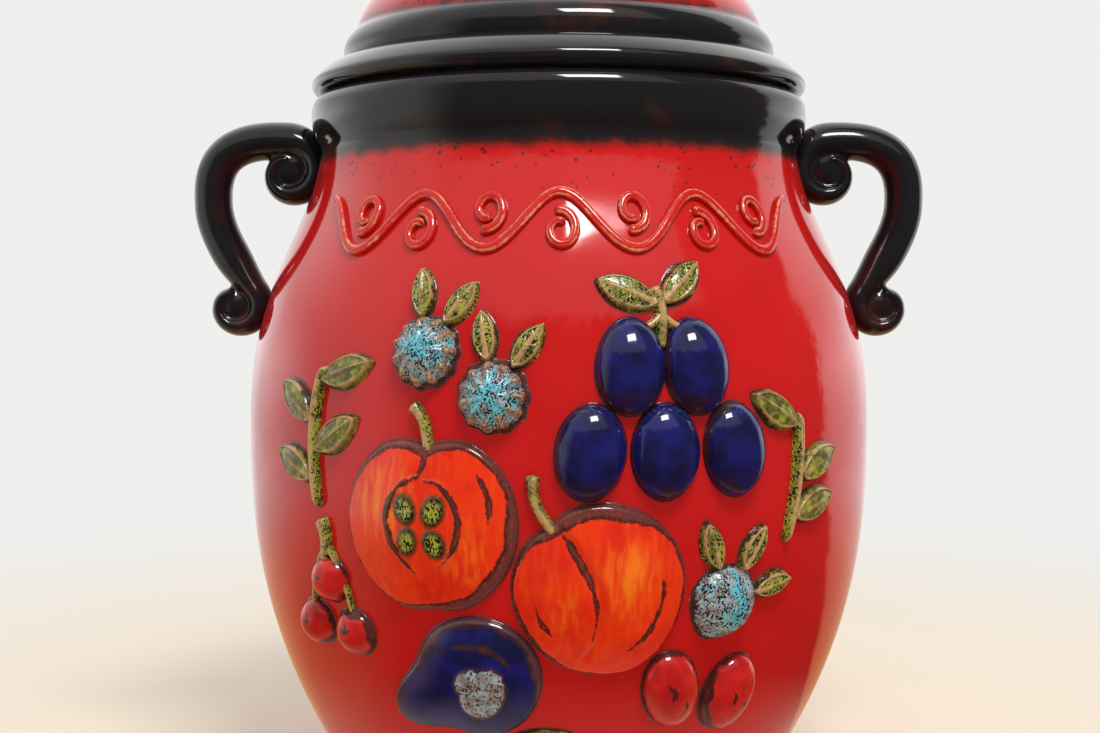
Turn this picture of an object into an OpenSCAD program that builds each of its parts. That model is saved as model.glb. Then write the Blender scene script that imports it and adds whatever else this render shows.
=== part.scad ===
// Rumtopf: a lidded stoneware crock with two scroll handles and raised fruit.
// The origin is the middle of the foot, on the table. +Z is up and the front faces -Y.
// Applied pieces are set in slip: each stands one layer of slip off the wall that carries it.

/* [Crock] */
// Radius of the belly at its widest
belly_r = 114.4; // [108:0.2:122]
// Height of the widest part above the table
belly_z = 136; // [126:1:146]
// Height of the seat that carries the lid
crock_h = 262; // [252:0.5:276]
// Radius of the foot on the table
foot_r = 70; // [60:1:80]
// Radius of the groove under the collar
neck_r = 88.5; // [87:0.5:92]
// How far the collar bulges out of the groove
collar_bulge = 3.1; // [1:0.1:5]
// Height of the collar, from the groove to the seat
collar_h = 20; // [16:0.5:24]
// Radius of the collar's rounded top edge
collar_edge = 3.5; // [1.5:0.5:4]
// How far the mouth's edge stands inside the groove
mouth_inset = 9.5; // [8.5:0.5:12]
// Thickness of the wall
wall = 6.5; // [4.5:0.5:8]
// Thickness of the floor
floor_t = 8; // [6:0.5:11]
// Radius of the curve where the floor meets the wall, inside
floor_fillet = 12; // [6:1:16]
// Height of the foot ring
foot_h = 3.5; // [2:0.5:5]
// Width of the foot ring
foot_w = 9; // [6:0.5:13]

/* [Lid] */
// How far the lid's lip stands out beyond the groove
lip_over = 2.9; // [0.5:0.1:6]
// Radius of the lip's rounded edge
lip_edge = 3; // [2:0.2:4]
// Radius of the curve of the lip's sloping top
lip_crown = 28; // [24:1:32]
// How far the bead above the lip stands in from the lip's edge
bead_inset = 11.7; // [10:0.1:12.4]
// Radius of the roll of the bead
bead_roll = 9; // [8:0.2:10]
// Height of the bead's middle above the seat
bead_rise = 15.3; // [14.5:0.1:16.5]
// How far the foot of the dome stands in from the bead
dome_inset = 3.7; // [2.7:0.1:5.2]
// Radius of the dome's shoulder
dome_roll = 30; // [26:1:34]
// Height of the middle of that shoulder's curve above the seat
dome_rise = 16.2; // [15:0.2:18]
// Angle at which the shoulder turns into the crown
crown_angle = 72; // [68:1:76]
// Thickness of the lid
lid_wall = 6; // [4.5:0.5:7]
// Depth of the ring that centres the lid in the mouth
spigot_h = 12; // [8:1:16]
// Thickness of that ring
spigot_t = 5; // [4:0.5:6]
// Gap all round between that ring and the mouth
spigot_gap = 1.5; // [0.8:0.1:2.5]

/* [Knob] */
// Radius of the knob's head
knob_r = 17; // [15:0.5:20]
// Height of the knob
knob_h = 24; // [22:0.5:28]
// Radius of the knob's foot
knob_foot_r = 13; // [12:0.5:15]
// Radius of the knob's stem
knob_stem_r = 10; // [8:0.5:11]

/* [Handles] */
// Half the thickness of the strap, seen from the front
strap_t = 7.1; // [6:0.1:8]
// Half the depth of the strap, front to back
strap_depth = 8.5; // [7:0.5:10]
// Depth of the upper scroll's eye below the lid's seat
upper_eye_drop = 26; // [23:0.5:29]
// Distance of the upper scroll's eye from the wall
upper_eye_out = 11.4; // [10.4:0.2:12.2]
// Depth of the lower scroll's eye below the upper one
eye_span = 51; // [47:0.5:56]
// Distance of the lower scroll's eye from the wall
lower_eye_out = 12.6; // [11.6:0.2:13.2]
// How far the loop stands out beyond the lower eye
loop_out = 8.8; // [6:0.2:14]
// Radius of the bead in each scroll
eye_r = 3.6; // [3:0.1:4.2]

/* [Fruit] */
// Layer of slip under each applied piece
slip = 0.3; // [0.2:0.05:0.5]
// Least gap between two fruits
fruit_gap = 2; // [1.5:0.1:3]
// Depth of the apple's middle below the middle of the band
fruit_drop = 94; // [92:1:100]
// Distance of the apple's middle to the left of the front's middle, along the wall
apple_left = 42; // [38:1:46]
// Height of the relief of the large fruits
fruit_relief = 6.5; // [4:0.5:8]
// Thickness of an applied piece at its edge
relief_edge = 1.6; // [1:0.1:2.4]
// Radius of the halved apple
apple_r = 29; // [26:0.5:30]
// Radius of the peach
peach_r = 27; // [24:0.5:28]
// Radius of the fig, without its neck
fig_r = 20; // [17:0.5:21]
// Half the length of a damson
damson_l = 14.5; // [12:0.5:15.5]
// Half the width of a damson
damson_w = 10.5; // [8.5:0.5:11]
// How far a damson stands out of the wall
damson_relief = 7.5; // [6:0.5:9]
// Radius of a gooseberry
gooseberry_r = 12; // [10.5:0.5:13]
// Radius of the hazelnut
hazelnut_r = 13; // [11:0.5:14]
// Radius of a cranberry
cranberry_r = 8; // [7:0.25:8.5]
// Half the length of a rose hip
hip_l = 13; // [11:0.5:14]
// Half the width of a rose hip
hip_w = 9.5; // [8:0.5:10]
// Half the length of a leaf
leaf_l = 15; // [12:0.5:17]
// Half the width of a leaf
leaf_w = 7; // [5:0.5:8]
// Height of the relief of a leaf
leaf_relief = 3; // [2:0.2:4]
// Half the width of a stalk
stalk_w = 1.7; // [1.2:0.1:2]
// Length of a fruit's stalk
stalk_l = 11; // [8:0.5:12]
// Height of a leaf spray
spray_l = 46; // [38:1:48]
// Distance of a leaf spray's foot from the fruit beside it
spray_gap = 12; // [11:0.5:16]

/* [Scroll band] */
// Number of curls in the vine
scroll_count = 7; // [5:1:8]
// Distance between two curls, along the wall
scroll_pitch = 27; // [25:0.5:29]
// Depth of the middle of the band below the lid's seat
band_drop = 50; // [48:0.5:52]
// How far the vine waves up and down from the middle of the band
vine_wave = 9; // [7.5:0.5:10]
// Radius of the outer turn of a curl
scroll_r = 8.2; // [7:0.2:9]
// Width of the raised line
line_w = 3.4; // [3:0.2:4.2]
// Height of the raised line
line_h = 1.8; // [1.2:0.1:2.4]

/* [Hidden] */
$fn = 96;
deg = 180 / PI;

glaze_red = "firebrick";
glaze_black = "#1c1a1c";
glaze_orange = "orangered";
glaze_blue = "midnightblue";
glaze_turquoise = "cadetblue";
glaze_olive = "darkolivegreen";

mouth_r = neck_r - mouth_inset;
lip_r = neck_r + lip_over;
bead_r = lip_r - bead_inset;
dome_r = bead_r - dome_inset;
groove_z = crock_h - collar_h;
band_z = crock_h - band_drop;
foot_curve = 2.25;
shoulder_curve = 1.5;
collar_sweep = 160;
throat_h = 22;
throat_ease = 30;
profile_step = 4;
seam = 0.6;
leaf_spread = 58;
spray_leaf = 0.72;

// Rises from 0 to 1 with level ends
function smooth(t) = t * t * (3 - 2 * t);

// Point at a distance and an angle from c
function polar(c, r, a) = c + r * [cos(a), sin(a)];

// Points on an arc round c, from angle a0 to a1
function arc(c, r, a0, a1, n) = [for (i = [0:n]) polar(c, r, a0 + (a1 - a0) * i / n)];

// Point on a cubic curve with four handles
function bezier(p, t) =
    pow(1 - t, 3) * p[0] + 3 * t * pow(1 - t, 2) * p[1] + 3 * t * t * (1 - t) * p[2] + t * t * t * p[3];

// Radius of the crock's outer wall at a height
function wall_r(z) =
    z < belly_z
        ? belly_r - (belly_r - foot_r) * pow((belly_z - max(z, 0)) / belly_z, foot_curve)
    : z < groove_z
        ? belly_r - (belly_r - neck_r) * smooth(pow((z - belly_z) / (groove_z - belly_z), shoulder_curve))
    : neck_r + collar_bulge * pow(sin(collar_sweep * min((z - groove_z) / collar_h, 1)), 0.8);

// Outward normal of that wall, as [radial, up]
function wall_normal(z) =
    let (h = 0.5, slope = (wall_r(z + h) - wall_r(z - h)) / (2 * h))
    [1, -slope] / norm([1, slope]);

// Radius of the crock's inside at a height
function inside_r(z) =
    let (
        throat_z = crock_h - throat_h,
        t = min(max((z - throat_z + throat_ease) / throat_ease, 0), 1)
    )
    (1 - smooth(t)) * (wall_r(min(z, throat_z)) - wall) + smooth(t) * mouth_r;

// Point on the front at an angle from the middle and a height, lifted off the wall
function on_wall(a, z, lift) =
    let (n = wall_normal(z), r = wall_r(z) + lift * n[0])
    [r * sin(a), -r * cos(a), z + lift * n[1]];

// Angle on the crock of a place u mm right of the middle, measured along the belly
function angle_of(u) = u / belly_r * deg;

// Solid inside the crock's outer wall plus a gap, for cutting the backs of applied pieces
module wall_envelope(z0, z1, gap) {
    n = ceil((z1 - z0) / profile_step);
    rotate_extrude($fn = 180)
        polygon([
            [0, z0],
            for (i = [0:n]) let (z = z0 + (z1 - z0) * i / n) [wall_r(z) + gap, z],
            [0, z1]
        ]);
}

// Crock: foot ring, ovoid belly, neck groove, collar and a flat seat for the lid
module pot_body() {
    foot_chamfer = 1.5;
    floor_z = foot_h + floor_t;
    edge_z = crock_h - collar_edge;
    inside_z0 = floor_z + floor_fillet;
    lower_n = ceil(belly_z / profile_step);
    upper_n = ceil((groove_z - belly_z) / profile_step);
    inside_n = ceil((crock_h - inside_z0) / profile_step);
    collar_n = 10;
    outer = concat(
        [[foot_r - foot_chamfer, 0]],
        [for (i = [0:lower_n]) let (z = foot_chamfer + (belly_z - foot_chamfer) * i / lower_n)
            [wall_r(z), z]],
        [for (i = [1:upper_n]) let (z = belly_z + (groove_z - belly_z) * i / upper_n)
            [wall_r(z), z]],
        [for (i = [1:collar_n - 1]) let (z = groove_z + (edge_z - groove_z) * i / collar_n)
            [wall_r(z), z]],
        arc([wall_r(edge_z) - collar_edge, edge_z], collar_edge, 0, 90, 4)
    );
    inner = concat(
        [for (i = [inside_n:-1:0]) let (z = inside_z0 + (crock_h - inside_z0) * i / inside_n)
            [inside_r(z), z]],
        arc([inside_r(inside_z0) - floor_fillet, inside_z0], floor_fillet, -15, -90, 6),
        [[0, floor_z]]
    );
    under = [[0, foot_h], [foot_r - foot_w - foot_h, foot_h], [foot_r - foot_w, 0]];
    color(glaze_red)
        rotate_extrude()
            polygon(concat(outer, inner, under));
}

// Centres of the lid's curves and the angles where one runs into the next
lip_c = [lip_r - lip_edge, crock_h + lip_edge];
lip_turn = 42;
lip_top_c = polar(lip_c, lip_edge - lip_crown, lip_turn);
lip_end = acos((bead_r - 0.4 - lip_top_c[0]) / lip_crown);
bead_c = [bead_r - bead_roll, crock_h + bead_rise];
bead_start = asin(max(-0.9, (lip_top_c[1] + lip_crown * sin(lip_end) - bead_c[1]) / bead_roll));
bead_end = 57;
dome_c = [dome_r - dome_roll, crock_h + dome_rise];
dome_start = 15;
crown_r = polar(dome_c, dome_roll, crown_angle)[0] / cos(crown_angle);
crown_z = dome_c[1] + (dome_roll - crown_r) * sin(crown_angle);
knob_foot_a = acos(knob_foot_r / crown_r);
knob_seat_z = crown_z + crown_r * sin(knob_foot_a);

// Lid: centring ring, lip, bead and a hollow dome with a flat seat for the knob
module lid() {
    ring_chamfer = 1;
    ring_r = mouth_r - spigot_gap;
    inner_r = ring_r - spigot_t;
    outer = concat(
        [[ring_r, crock_h - spigot_h + ring_chamfer], [ring_r, crock_h]],
        arc(lip_c, lip_edge, -90, lip_turn, 8),
        arc(lip_top_c, lip_crown, lip_turn + 6, lip_end, 5),
        arc(bead_c, bead_roll, bead_start, bead_end, 9),
        arc(dome_c, dome_roll, dome_start, crown_angle, 12),
        arc([0, crown_z], crown_r, crown_angle + 2, knob_foot_a, 5),
        [[0, knob_seat_z]]
    );
    inner = concat(
        arc([0, crown_z], crown_r - lid_wall, 90, crown_angle, 5),
        arc(dome_c, dome_roll - lid_wall, crown_angle - 6, 0, 10),
        [[inner_r, crock_h], [inner_r, crock_h - spigot_h], [ring_r - ring_chamfer, crock_h - spigot_h]]
    );
    color(glaze_red)
        rotate_extrude()
            polygon(concat(outer, inner));
}

// Knob: low foot, waisted stem and a round, slightly flattened head
module lid_knob() {
    head_flat = 0.62;
    head_start = -52;
    foot_roll = 1.6;
    head_z = knob_seat_z + knob_h - knob_r * head_flat;
    stem_top = [knob_r * cos(head_start), head_z + knob_r * head_flat * sin(head_start)];
    stem = [
        [knob_foot_r, knob_seat_z + foot_roll], [knob_stem_r, knob_seat_z + 2 * foot_roll],
        [knob_stem_r - 1, stem_top[1] - 2 * foot_roll], stem_top
    ];
    outline = concat(
        [[0, knob_seat_z], [knob_foot_r, knob_seat_z]],
        [for (t = [0:0.2:1]) bezier(stem, t)],
        [for (i = [1:14]) let (a = head_start + (90 - head_start) * i / 14)
            [knob_r * cos(a), head_z + knob_r * head_flat * sin(a)]]
    );
    color(glaze_black)
        rotate_extrude()
            polygon(outline);
}

// Eyes of the two scrolls and the outermost point of the loop, in the handle's own plane
upper_eye_z = crock_h - upper_eye_drop;
lower_eye_z = upper_eye_z - eye_span;
upper_eye = [wall_r(upper_eye_z) + upper_eye_out, upper_eye_z];
lower_eye = [wall_r(lower_eye_z) + lower_eye_out, lower_eye_z];
loop_end = [lower_eye[0] + loop_out, upper_eye_z - eye_span / 4];
scroll_t = 5.2;
tip_t = 2;
upper_turn_r = 10.4;
upper_turn_in = 6;
lower_turn_r = 8.6;
lower_turn_in = 4;

// Distance of the strap's middle from the eye, and its half thickness, at an angle round the eye
function upper_scroll(a) =
    let (
        s = (a - 90) / 350,
        r = upper_turn_r * (1 - 0.077 * min(2 * s, 1)) - upper_turn_in * smooth(max(2 * s - 1, 0)),
        t = strap_t + (scroll_t - strap_t) * min(4 * s, 1) - (scroll_t - tip_t) * max(s - 0.25, 0) / 0.75
    )
    concat(polar(upper_eye, r, a), t);
function lower_scroll(a) =
    let (s = (a - 140) / 300)
    concat(polar(lower_eye, lower_turn_r - lower_turn_in * s * s, a), scroll_t - (scroll_t - tip_t) * s);

lower_start = lower_scroll(140);
upper_start = upper_scroll(90);
lower_run = [
    [lower_start[0], lower_start[1]],
    [lower_start[0], lower_start[1]] + lower_turn_r * [0.535, 0.767],
    loop_end - [0, 0.235 * eye_span], loop_end
];
upper_run = [
    loop_end, loop_end + eye_span * [0.016, 0.333],
    [upper_start[0], upper_start[1]] + upper_turn_r * [2.115, 0.135],
    [upper_start[0], upper_start[1]]
];
run_steps = 7;

// Stations of the strap as [out, up, half thickness], from the lower eye round the loop to the upper
handle_path = concat(
    [for (a = [440:-30:140]) lower_scroll(a)],
    [for (i = [1:run_steps]) let (t = i / run_steps)
        concat(bezier(lower_run, t), scroll_t + (strap_t - scroll_t) * smooth(min(2 * t, 1)))],
    [for (i = [1:run_steps - 1]) concat(bezier(upper_run, i / run_steps), strap_t)],
    [for (a = [90:29:438]) upper_scroll(a)]
);

// Stretch of the strap between two stations, oval in section and square to its run
module strap(first, last) {
    sides = 14;
    n = last - first + 1;
    points = [
        for (i = [first:last]) let (
            here = handle_path[i],
            before = handle_path[max(i - 1, 0)],
            after = handle_path[min(i + 1, len(handle_path) - 1)],
            run = [after[0] - before[0], after[1] - before[1]],
            side = [run[1], -run[0]] / norm(run) * here[2],
            depth = strap_depth - 2 * (1 - here[2] / strap_t)
        )
        for (k = [0:sides - 1]) let (a = 360 * k / sides)
            [here[0] + side[0] * cos(a), depth * sin(a), here[1] + side[1] * cos(a)]
    ];
    faces = concat(
        [[for (k = [0:sides - 1]) k]],
        [for (i = [0:n - 2]) for (k = [0:sides - 1])
            let (a = i * sides + k, b = i * sides + (k + 1) % sides)
            each [[a, a + sides, b + sides], [a, b + sides, b]]],
        [[for (k = [sides - 1:-1:0]) (n - 1) * sides + k]]
    );
    polyhedron(points, faces);
}

// Scroll handle: a strap that curls up at both ends, cut to the wall it is luted to
module scroll_handle() {
    eye_inset = 1.4;
    stretch = 7;
    last = len(handle_path) - 1;
    difference() {
        union() {
            for (first = [0:stretch:last - 1])
                strap(first, min(first + stretch + 1, last));
            for (eye = [upper_eye, lower_eye])
                translate([eye[0], 0, eye[1]])
                    scale([eye_r, strap_depth - eye_inset, eye_r])
                        sphere(r = 1, $fn = 12);
        }
        wall_envelope(lower_eye_z - eye_span / 2, crock_h, slip);
    }
}

module handle_left() {
    color(glaze_black)
        mirror([1, 0, 0])
            scroll_handle();
}

module handle_right() {
    color(glaze_black)
        scroll_handle();
}

// Raised patch on the wall round (u, z): edge(a) is its radius, lift(s) its height at share s
module relief(at, edge, lift, rings = 4, spokes = 28) {
    r0 = wall_r(at[1]);
    function spot(i, j, h) =
        let (a = 360 * j / spokes, r = edge(a) * sin(90 * i / rings))
        on_wall(angle_of(at[0]) + r * cos(a) / r0 * deg, at[1] + r * sin(a), h);
    function top_spot(i, j) = spot(i, j, slip + lift(sin(90 * i / rings)));
    function index(layer, i, j) = 2 + (layer * rings + i - 1) * spokes + j % spokes;
    points = concat(
        [top_spot(0, 0), spot(0, 0, slip)],
        [for (i = [1:rings]) for (j = [0:spokes - 1]) top_spot(i, j)],
        [for (i = [1:rings]) for (j = [0:spokes - 1]) spot(i, j, slip)]
    );
    faces = [
        for (j = [0:spokes - 1]) each [
            [0, index(0, 1, j + 1), index(0, 1, j)],
            [1, index(1, 1, j), index(1, 1, j + 1)],
            [index(0, rings, j), index(0, rings, j + 1), index(1, rings, j + 1)],
            [index(0, rings, j), index(1, rings, j + 1), index(1, rings, j)]
        ],
        for (i = [1:rings - 1]) for (j = [0:spokes - 1]) each [
            [index(0, i, j), index(0, i, j + 1), index(0, i + 1, j + 1)],
            [index(0, i, j), index(0, i + 1, j + 1), index(0, i + 1, j)],
            [index(1, i, j), index(1, i + 1, j + 1), index(1, i, j + 1)],
            [index(1, i, j), index(1, i + 1, j), index(1, i + 1, j + 1)]
        ]
    ];
    polyhedron(points, faces);
}

// Raised line on the wall along stations [u, z, half width], with a round back
module raised_line(path, h) {
    n = len(path);
    r0 = wall_r(path[floor(n / 2)][1]);
    section = [[-1, 0], [-0.75, 0.7], [0, 1], [0.75, 0.7], [1, 0]];
    m = len(section);
    points = [
        for (i = [0:n - 1]) let (
            run = path[min(i + 1, n - 1)] - path[max(i - 1, 0)],
            side = [run[1], -run[0]] / norm([run[0], run[1]]) * path[i][2]
        )
        for (s = section)
            on_wall(angle_of(path[i][0]) + s[0] * side[0] / r0 * deg, path[i][1] + s[0] * side[1],
                slip + s[1] * h)
    ];
    faces = concat(
        [[for (k = [0:m - 1]) k]],
        [for (i = [0:n - 2]) for (k = [0:m - 1]) let (a = i * m + k, b = i * m + (k + 1) % m)
            each [[a, b + m, b], [a, a + m, b + m]]],
        [[for (k = [m - 1:-1:0]) (n - 1) * m + k]]
    );
    polyhedron(points, faces);
}

// Height of a gently crowned relief, and of a round one, at share s of the way to its edge
function crowned(h) = function (s) relief_edge + (h - relief_edge) * (1 - s * s);
function domed(h) = function (s) relief_edge + (h - relief_edge) * sqrt(max(1 - s * s, 0));

// Soft bump of share k round the angle a0
function bump(a, a0, k, width) = k * exp(-pow((abs((a - a0 + 540) % 360 - 180)) / width, 2));

// Radius of an oval with half axes l and w, whose long axis points at angle turn
function oval(l, w, turn) = function (a) l * w / norm([w * cos(a - turn), l * sin(a - turn)]);

// Radius of a leaf, pointed at both ends, whose long axis points at angle turn
function leaf_edge(l, w, turn) =
    let (r = (l * l + w * w) / (2 * w), d = r - w)
    function (a) sqrt(r * r - pow(d * cos(a - turn), 2)) - d * abs(sin(a - turn));

// Stations of a curved stalk between two places, bowed sideways and a little wider at its end
function stalk(from, to, bow, n = 6) =
    let (run = to - from, mid = (from + to) / 2 + bow * [run[1], -run[0]] / norm(run))
    [for (i = [0:n]) let (t = i / n)
        concat(pow(1 - t, 2) * from + 2 * t * (1 - t) * mid + t * t * to, stalk_w * (1 + 0.5 * pow(t, 4)))];

// Round berry cut to the wall, standing out of it by h
module berry(at, r, h) {
    difference() {
        translate(on_wall(angle_of(at[0]), at[1], slip + h - r))
            sphere(r = r);
        wall_envelope(at[1] - 1.6 * r, at[1] + 1.6 * r, slip);
    }
}

module leaf(at, turn, size = 1) {
    relief(at, leaf_edge(leaf_l * size, leaf_w * size, turn), crowned(leaf_relief), 2, 20);
}

// Leaf that grows from a stalk at one of its stations: its point stands just off the stalk's edge
module leaf_on(path, i, side, size) {
    run = path[i + 1] - path[i - 1];
    along = atan2(run[1], run[0]);
    foot = polar([path[i][0], path[i][1]], side * (1.25 * stalk_w + seam), along - 90);
    leaf(polar(foot, leaf_l * size, along - side * leaf_spread), along - side * leaf_spread, size);
}

// Place beside p at an angle, far enough for two fruits whose radii add up to reach
function beside(p, reach, a) = polar(p, reach + fruit_gap, a);

// Places of the fruits as [u, z], each set beside its neighbour
apple_at = [-apple_left, band_z - fruit_drop];
peach_at = beside(apple_at, apple_r + peach_r, -20);
fig_at = beside(apple_at, apple_r + fig_r, -74);
damsons_at = beside(peach_at, peach_r + 2.07 * damson_l, 70);
gooseberry_a_at = beside(apple_at, apple_r + gooseberry_r + fruit_gap, 62);
gooseberry_b_at = beside(gooseberry_a_at, 2 * gooseberry_r, 150);
hazelnut_at = beside(peach_at, peach_r + hazelnut_r + fruit_gap / 2, -8);
hips_at = beside(peach_at, peach_r + hip_l + fruit_gap / 2, -52);
cranberries_at = beside(apple_at, apple_r + 2.6 * cranberry_r, -142);

module apple_half() {
    edge = function (a) apple_r * (1 - bump(a, 90, 0.14, 20) - bump(a, 270, 0.07, 16));
    color(glaze_orange)
        relief(apple_at, edge, crowned(fruit_relief), 4, 32);
}

module apple_stalk() {
    foot = apple_at + [0, apple_r * 0.86 + fruit_gap + stalk_w];
    color(glaze_olive)
        raised_line(stalk(foot, foot + stalk_l * [-0.45, 0.73], 0.18 * stalk_l), leaf_relief);
}

module peach() {
    edge = function (a) peach_r * (1 - bump(a, 128, 0.06, 14) + bump(a, 300, 0.05, 22));
    color(glaze_orange)
        relief(peach_at, edge, crowned(fruit_relief), 4, 32);
}

module peach_stalk() {
    foot = polar(peach_at, peach_r + fruit_gap, 128);
    color(glaze_olive)
        raised_line(stalk(foot, foot + stalk_l * [-0.27, 1.18], -0.23 * stalk_l), leaf_relief);
}

module fig() {
    edge = function (a) fig_r * (1 + bump(a, 205, 0.7, 22));
    color(glaze_blue)
        relief(fig_at, edge, crowned(fruit_relief), 4, 32);
}

module fig_leaf() {
    color(glaze_olive)
        leaf(polar(fig_at, fig_r + 2 * fruit_gap + leaf_w, -62), 30, 1.1);
}

// Bunch of ovals in two staggered rows, leaning outwards
module damsons() {
    across = 2 * damson_w + seam;
    down = 2 * damson_l * sqrt(1 - pow(across / (4 * damson_w), 2)) + 2 * seam;
    lean = 7;
    color(glaze_blue)
        for (row = [0, 1]) for (i = [0:row + 1]) let (out = i - (row + 1) / 2)
            relief(damsons_at + [out * across * (1 + 0.1 * row), (0.5 - row) * down],
                oval(damson_l, damson_w, 90 + lean * out), domed(damson_relief), 3, 24);
}

module damson_stalk() {
    foot = damsons_at + [0, 1.8 * damson_l];
    path = stalk(foot, foot + stalk_l * [-0.18, 1], 0.18 * stalk_l);
    color(glaze_olive) {
        raised_line(path, leaf_relief);
        leaf_on(path, 3, 1, 0.65);
        leaf_on(path, 3, -1, 0.7);
    }
}

module gooseberries() {
    color(glaze_turquoise)
        for (at = [gooseberry_a_at, gooseberry_b_at])
            berry(at, gooseberry_r, damson_relief);
}

module gooseberry_leaves() {
    size = 0.55;
    color(glaze_olive)
        for (at = [gooseberry_a_at, gooseberry_b_at], turn = [55, 100])
            leaf(polar(at, gooseberry_r + seam + size * leaf_l, turn), turn, size);
}

module hazelnut() {
    color(glaze_turquoise)
        berry(hazelnut_at, hazelnut_r, damson_relief);
}

// Husk: a fan of pointed lobes over the nut
module hazelnut_husk() {
    lobe = 0.55;
    color(glaze_olive)
        for (turn = [12, 60, 108])
            leaf(polar(hazelnut_at, hazelnut_r + seam + lobe * leaf_l, turn), turn, lobe);
}

module cranberries() {
    spacing = 2 * cranberry_r + fruit_gap / 2;
    color(glaze_red)
        for (spot = [[0, 0.62], [-0.62, -0.3], [0.5, -0.36]])
            berry(cranberries_at + spacing * spot, cranberry_r, 0.75 * cranberry_r);
}

module cranberry_stalk() {
    foot = cranberries_at + [0, 2.4 * cranberry_r + fruit_gap];
    color(glaze_olive)
        raised_line(stalk(foot, foot + stalk_l * [-0.18, 0.82], 0.18 * stalk_l), leaf_relief);
}

module rose_hips() {
    color(glaze_red)
        for (i = [0:1])
            relief(polar(hips_at, (2.3 * hip_w + fruit_gap) * i, -8), oval(hip_l, hip_w, 105 - 30 * i),
                domed(damson_relief), 3, 24);
}

// Bowed stem beside the fruit with leaves at [station, side]
module leaf_spray(foot, run, bow, leaves) {
    path = stalk(foot, foot + run, bow, 10);
    raised_line(path, leaf_relief);
    for (place = leaves)
        leaf_on(path, place[0], place[1], spray_leaf);
}

module leaf_spray_left() {
    color(glaze_olive)
        leaf_spray(apple_at - [apple_r + fruit_gap + spray_gap, -0.04 * spray_l], spray_l * [0.04, 1],
            -0.13 * spray_l, [[2, -1], [4, 1], [6, -1], [9, 1]]);
}

module leaf_spray_right() {
    color(glaze_olive)
        leaf_spray(hazelnut_at + [hazelnut_r + spray_gap - fruit_gap, 0.37 * spray_l],
            spray_l * [0.11, 0.91], 0.087 * spray_l, [[2, 1], [5, 1], [9, -1]]);
}

// Running vine: a wavy line with a curl in every bend, above and below it in turn
module vine_line() {
    steps = 8 * (scroll_count + 1);
    raised_line([for (i = [0:steps]) let (t = i / steps - 0.5, bend = t * (scroll_count + 1))
        [bend * scroll_pitch, band_z - vine_wave * cos(180 * (bend + (scroll_count - 1) / 2)), line_w / 2]],
        line_h);
}

module vine_curl(i) {
    up = i % 2 == 0 ? 1 : -1;
    u0 = (i - (scroll_count - 1) / 2) * scroll_pitch;
    z0 = band_z - up * (vine_wave - line_w - seam - scroll_r);
    raised_line([
        for (k = [0:18]) let (
            t = k / 18,
            a = -110 + 420 * t,
            r = scroll_r * (1 - 0.7 * t) - line_w / 2 * (1 - t)
        )
        [u0 + r * cos(a), z0 + up * r * sin(a), line_w / 2 * (1 - 0.25 * t)]
    ], line_h);
}

module scroll_band() {
    color(glaze_red) {
        vine_line();
        for (i = [0:scroll_count - 1])
            vine_curl(i);
    }
}

pot_body();
handle_left();
handle_right();
lid();
lid_knob();
scroll_band();
apple_half();
apple_stalk();
peach();
peach_stalk();
fig();
fig_leaf();
damsons();
damson_stalk();
gooseberries();
gooseberry_leaves();
hazelnut();
hazelnut_husk();
cranberries();
cranberry_stalk();
rose_hips();
leaf_spray_left();
leaf_spray_right();
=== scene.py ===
# %% [markdown]
# # A lidded stoneware crock with raised fruit
# This lesson dresses a imported CAD model of a rumtopf: a pot for keeping fruit in rum.
# They fix where everything is, and each dressed piece is built over them and rides on the
# same body, so the lid can still be lifted off.

# %% The frame
import math

import bmesh
import bpy
import numpy as np
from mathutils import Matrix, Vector


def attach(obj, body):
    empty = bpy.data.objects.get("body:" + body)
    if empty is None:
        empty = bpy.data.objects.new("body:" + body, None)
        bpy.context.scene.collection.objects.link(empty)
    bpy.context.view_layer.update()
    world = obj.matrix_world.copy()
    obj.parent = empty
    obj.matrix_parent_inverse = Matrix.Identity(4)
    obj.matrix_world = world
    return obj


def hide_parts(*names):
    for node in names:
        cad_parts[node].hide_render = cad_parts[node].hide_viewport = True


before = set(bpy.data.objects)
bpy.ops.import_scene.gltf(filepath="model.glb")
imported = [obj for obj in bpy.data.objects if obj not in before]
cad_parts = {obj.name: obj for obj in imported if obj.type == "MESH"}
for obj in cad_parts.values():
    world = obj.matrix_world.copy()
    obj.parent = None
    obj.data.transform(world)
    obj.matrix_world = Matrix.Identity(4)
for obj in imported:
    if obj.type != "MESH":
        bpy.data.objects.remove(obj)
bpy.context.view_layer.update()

# %% [markdown]
# ## The camera
# The photograph looks at the belly from just above the shoulder, from about half a metre away.
# So the near wall looks large and the top of the lid and the foot are cropped.
# The numbers came from the crock's own height and width in the picture, and they are set before
# anything is built.

# %% The camera
camera = bpy.data.objects.new("camera", bpy.data.cameras.new("camera"))
bpy.context.scene.collection.objects.link(camera)
camera.location = (-0.0032, -0.577, 0.188)
camera.rotation_euler = (math.radians(87.4), 0, 0)
camera.data.lens = 50
camera.data.sensor_width = 36
camera.data.clip_start = 0.02
camera.data.clip_end = 30
bpy.context.scene.camera = camera
bpy.context.scene.view_settings.view_transform = "Standard"
print("camera at", [round(v, 3) for v in camera.location], "m, lens", camera.data.lens, "mm")

# %% [markdown]
# ## The wall as a formula
# A thrown or jiggered crock is a solid of revolution: one outline, turned round the middle.
# The outline could be traced point by point, but everything applied to the pot has to follow the
# same wall. So it is a formula of the height, with the same sizes as the CAD source, in
# millimetres: a swelling foot, a round shoulder, and a collar that bulges out of a groove.

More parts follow.
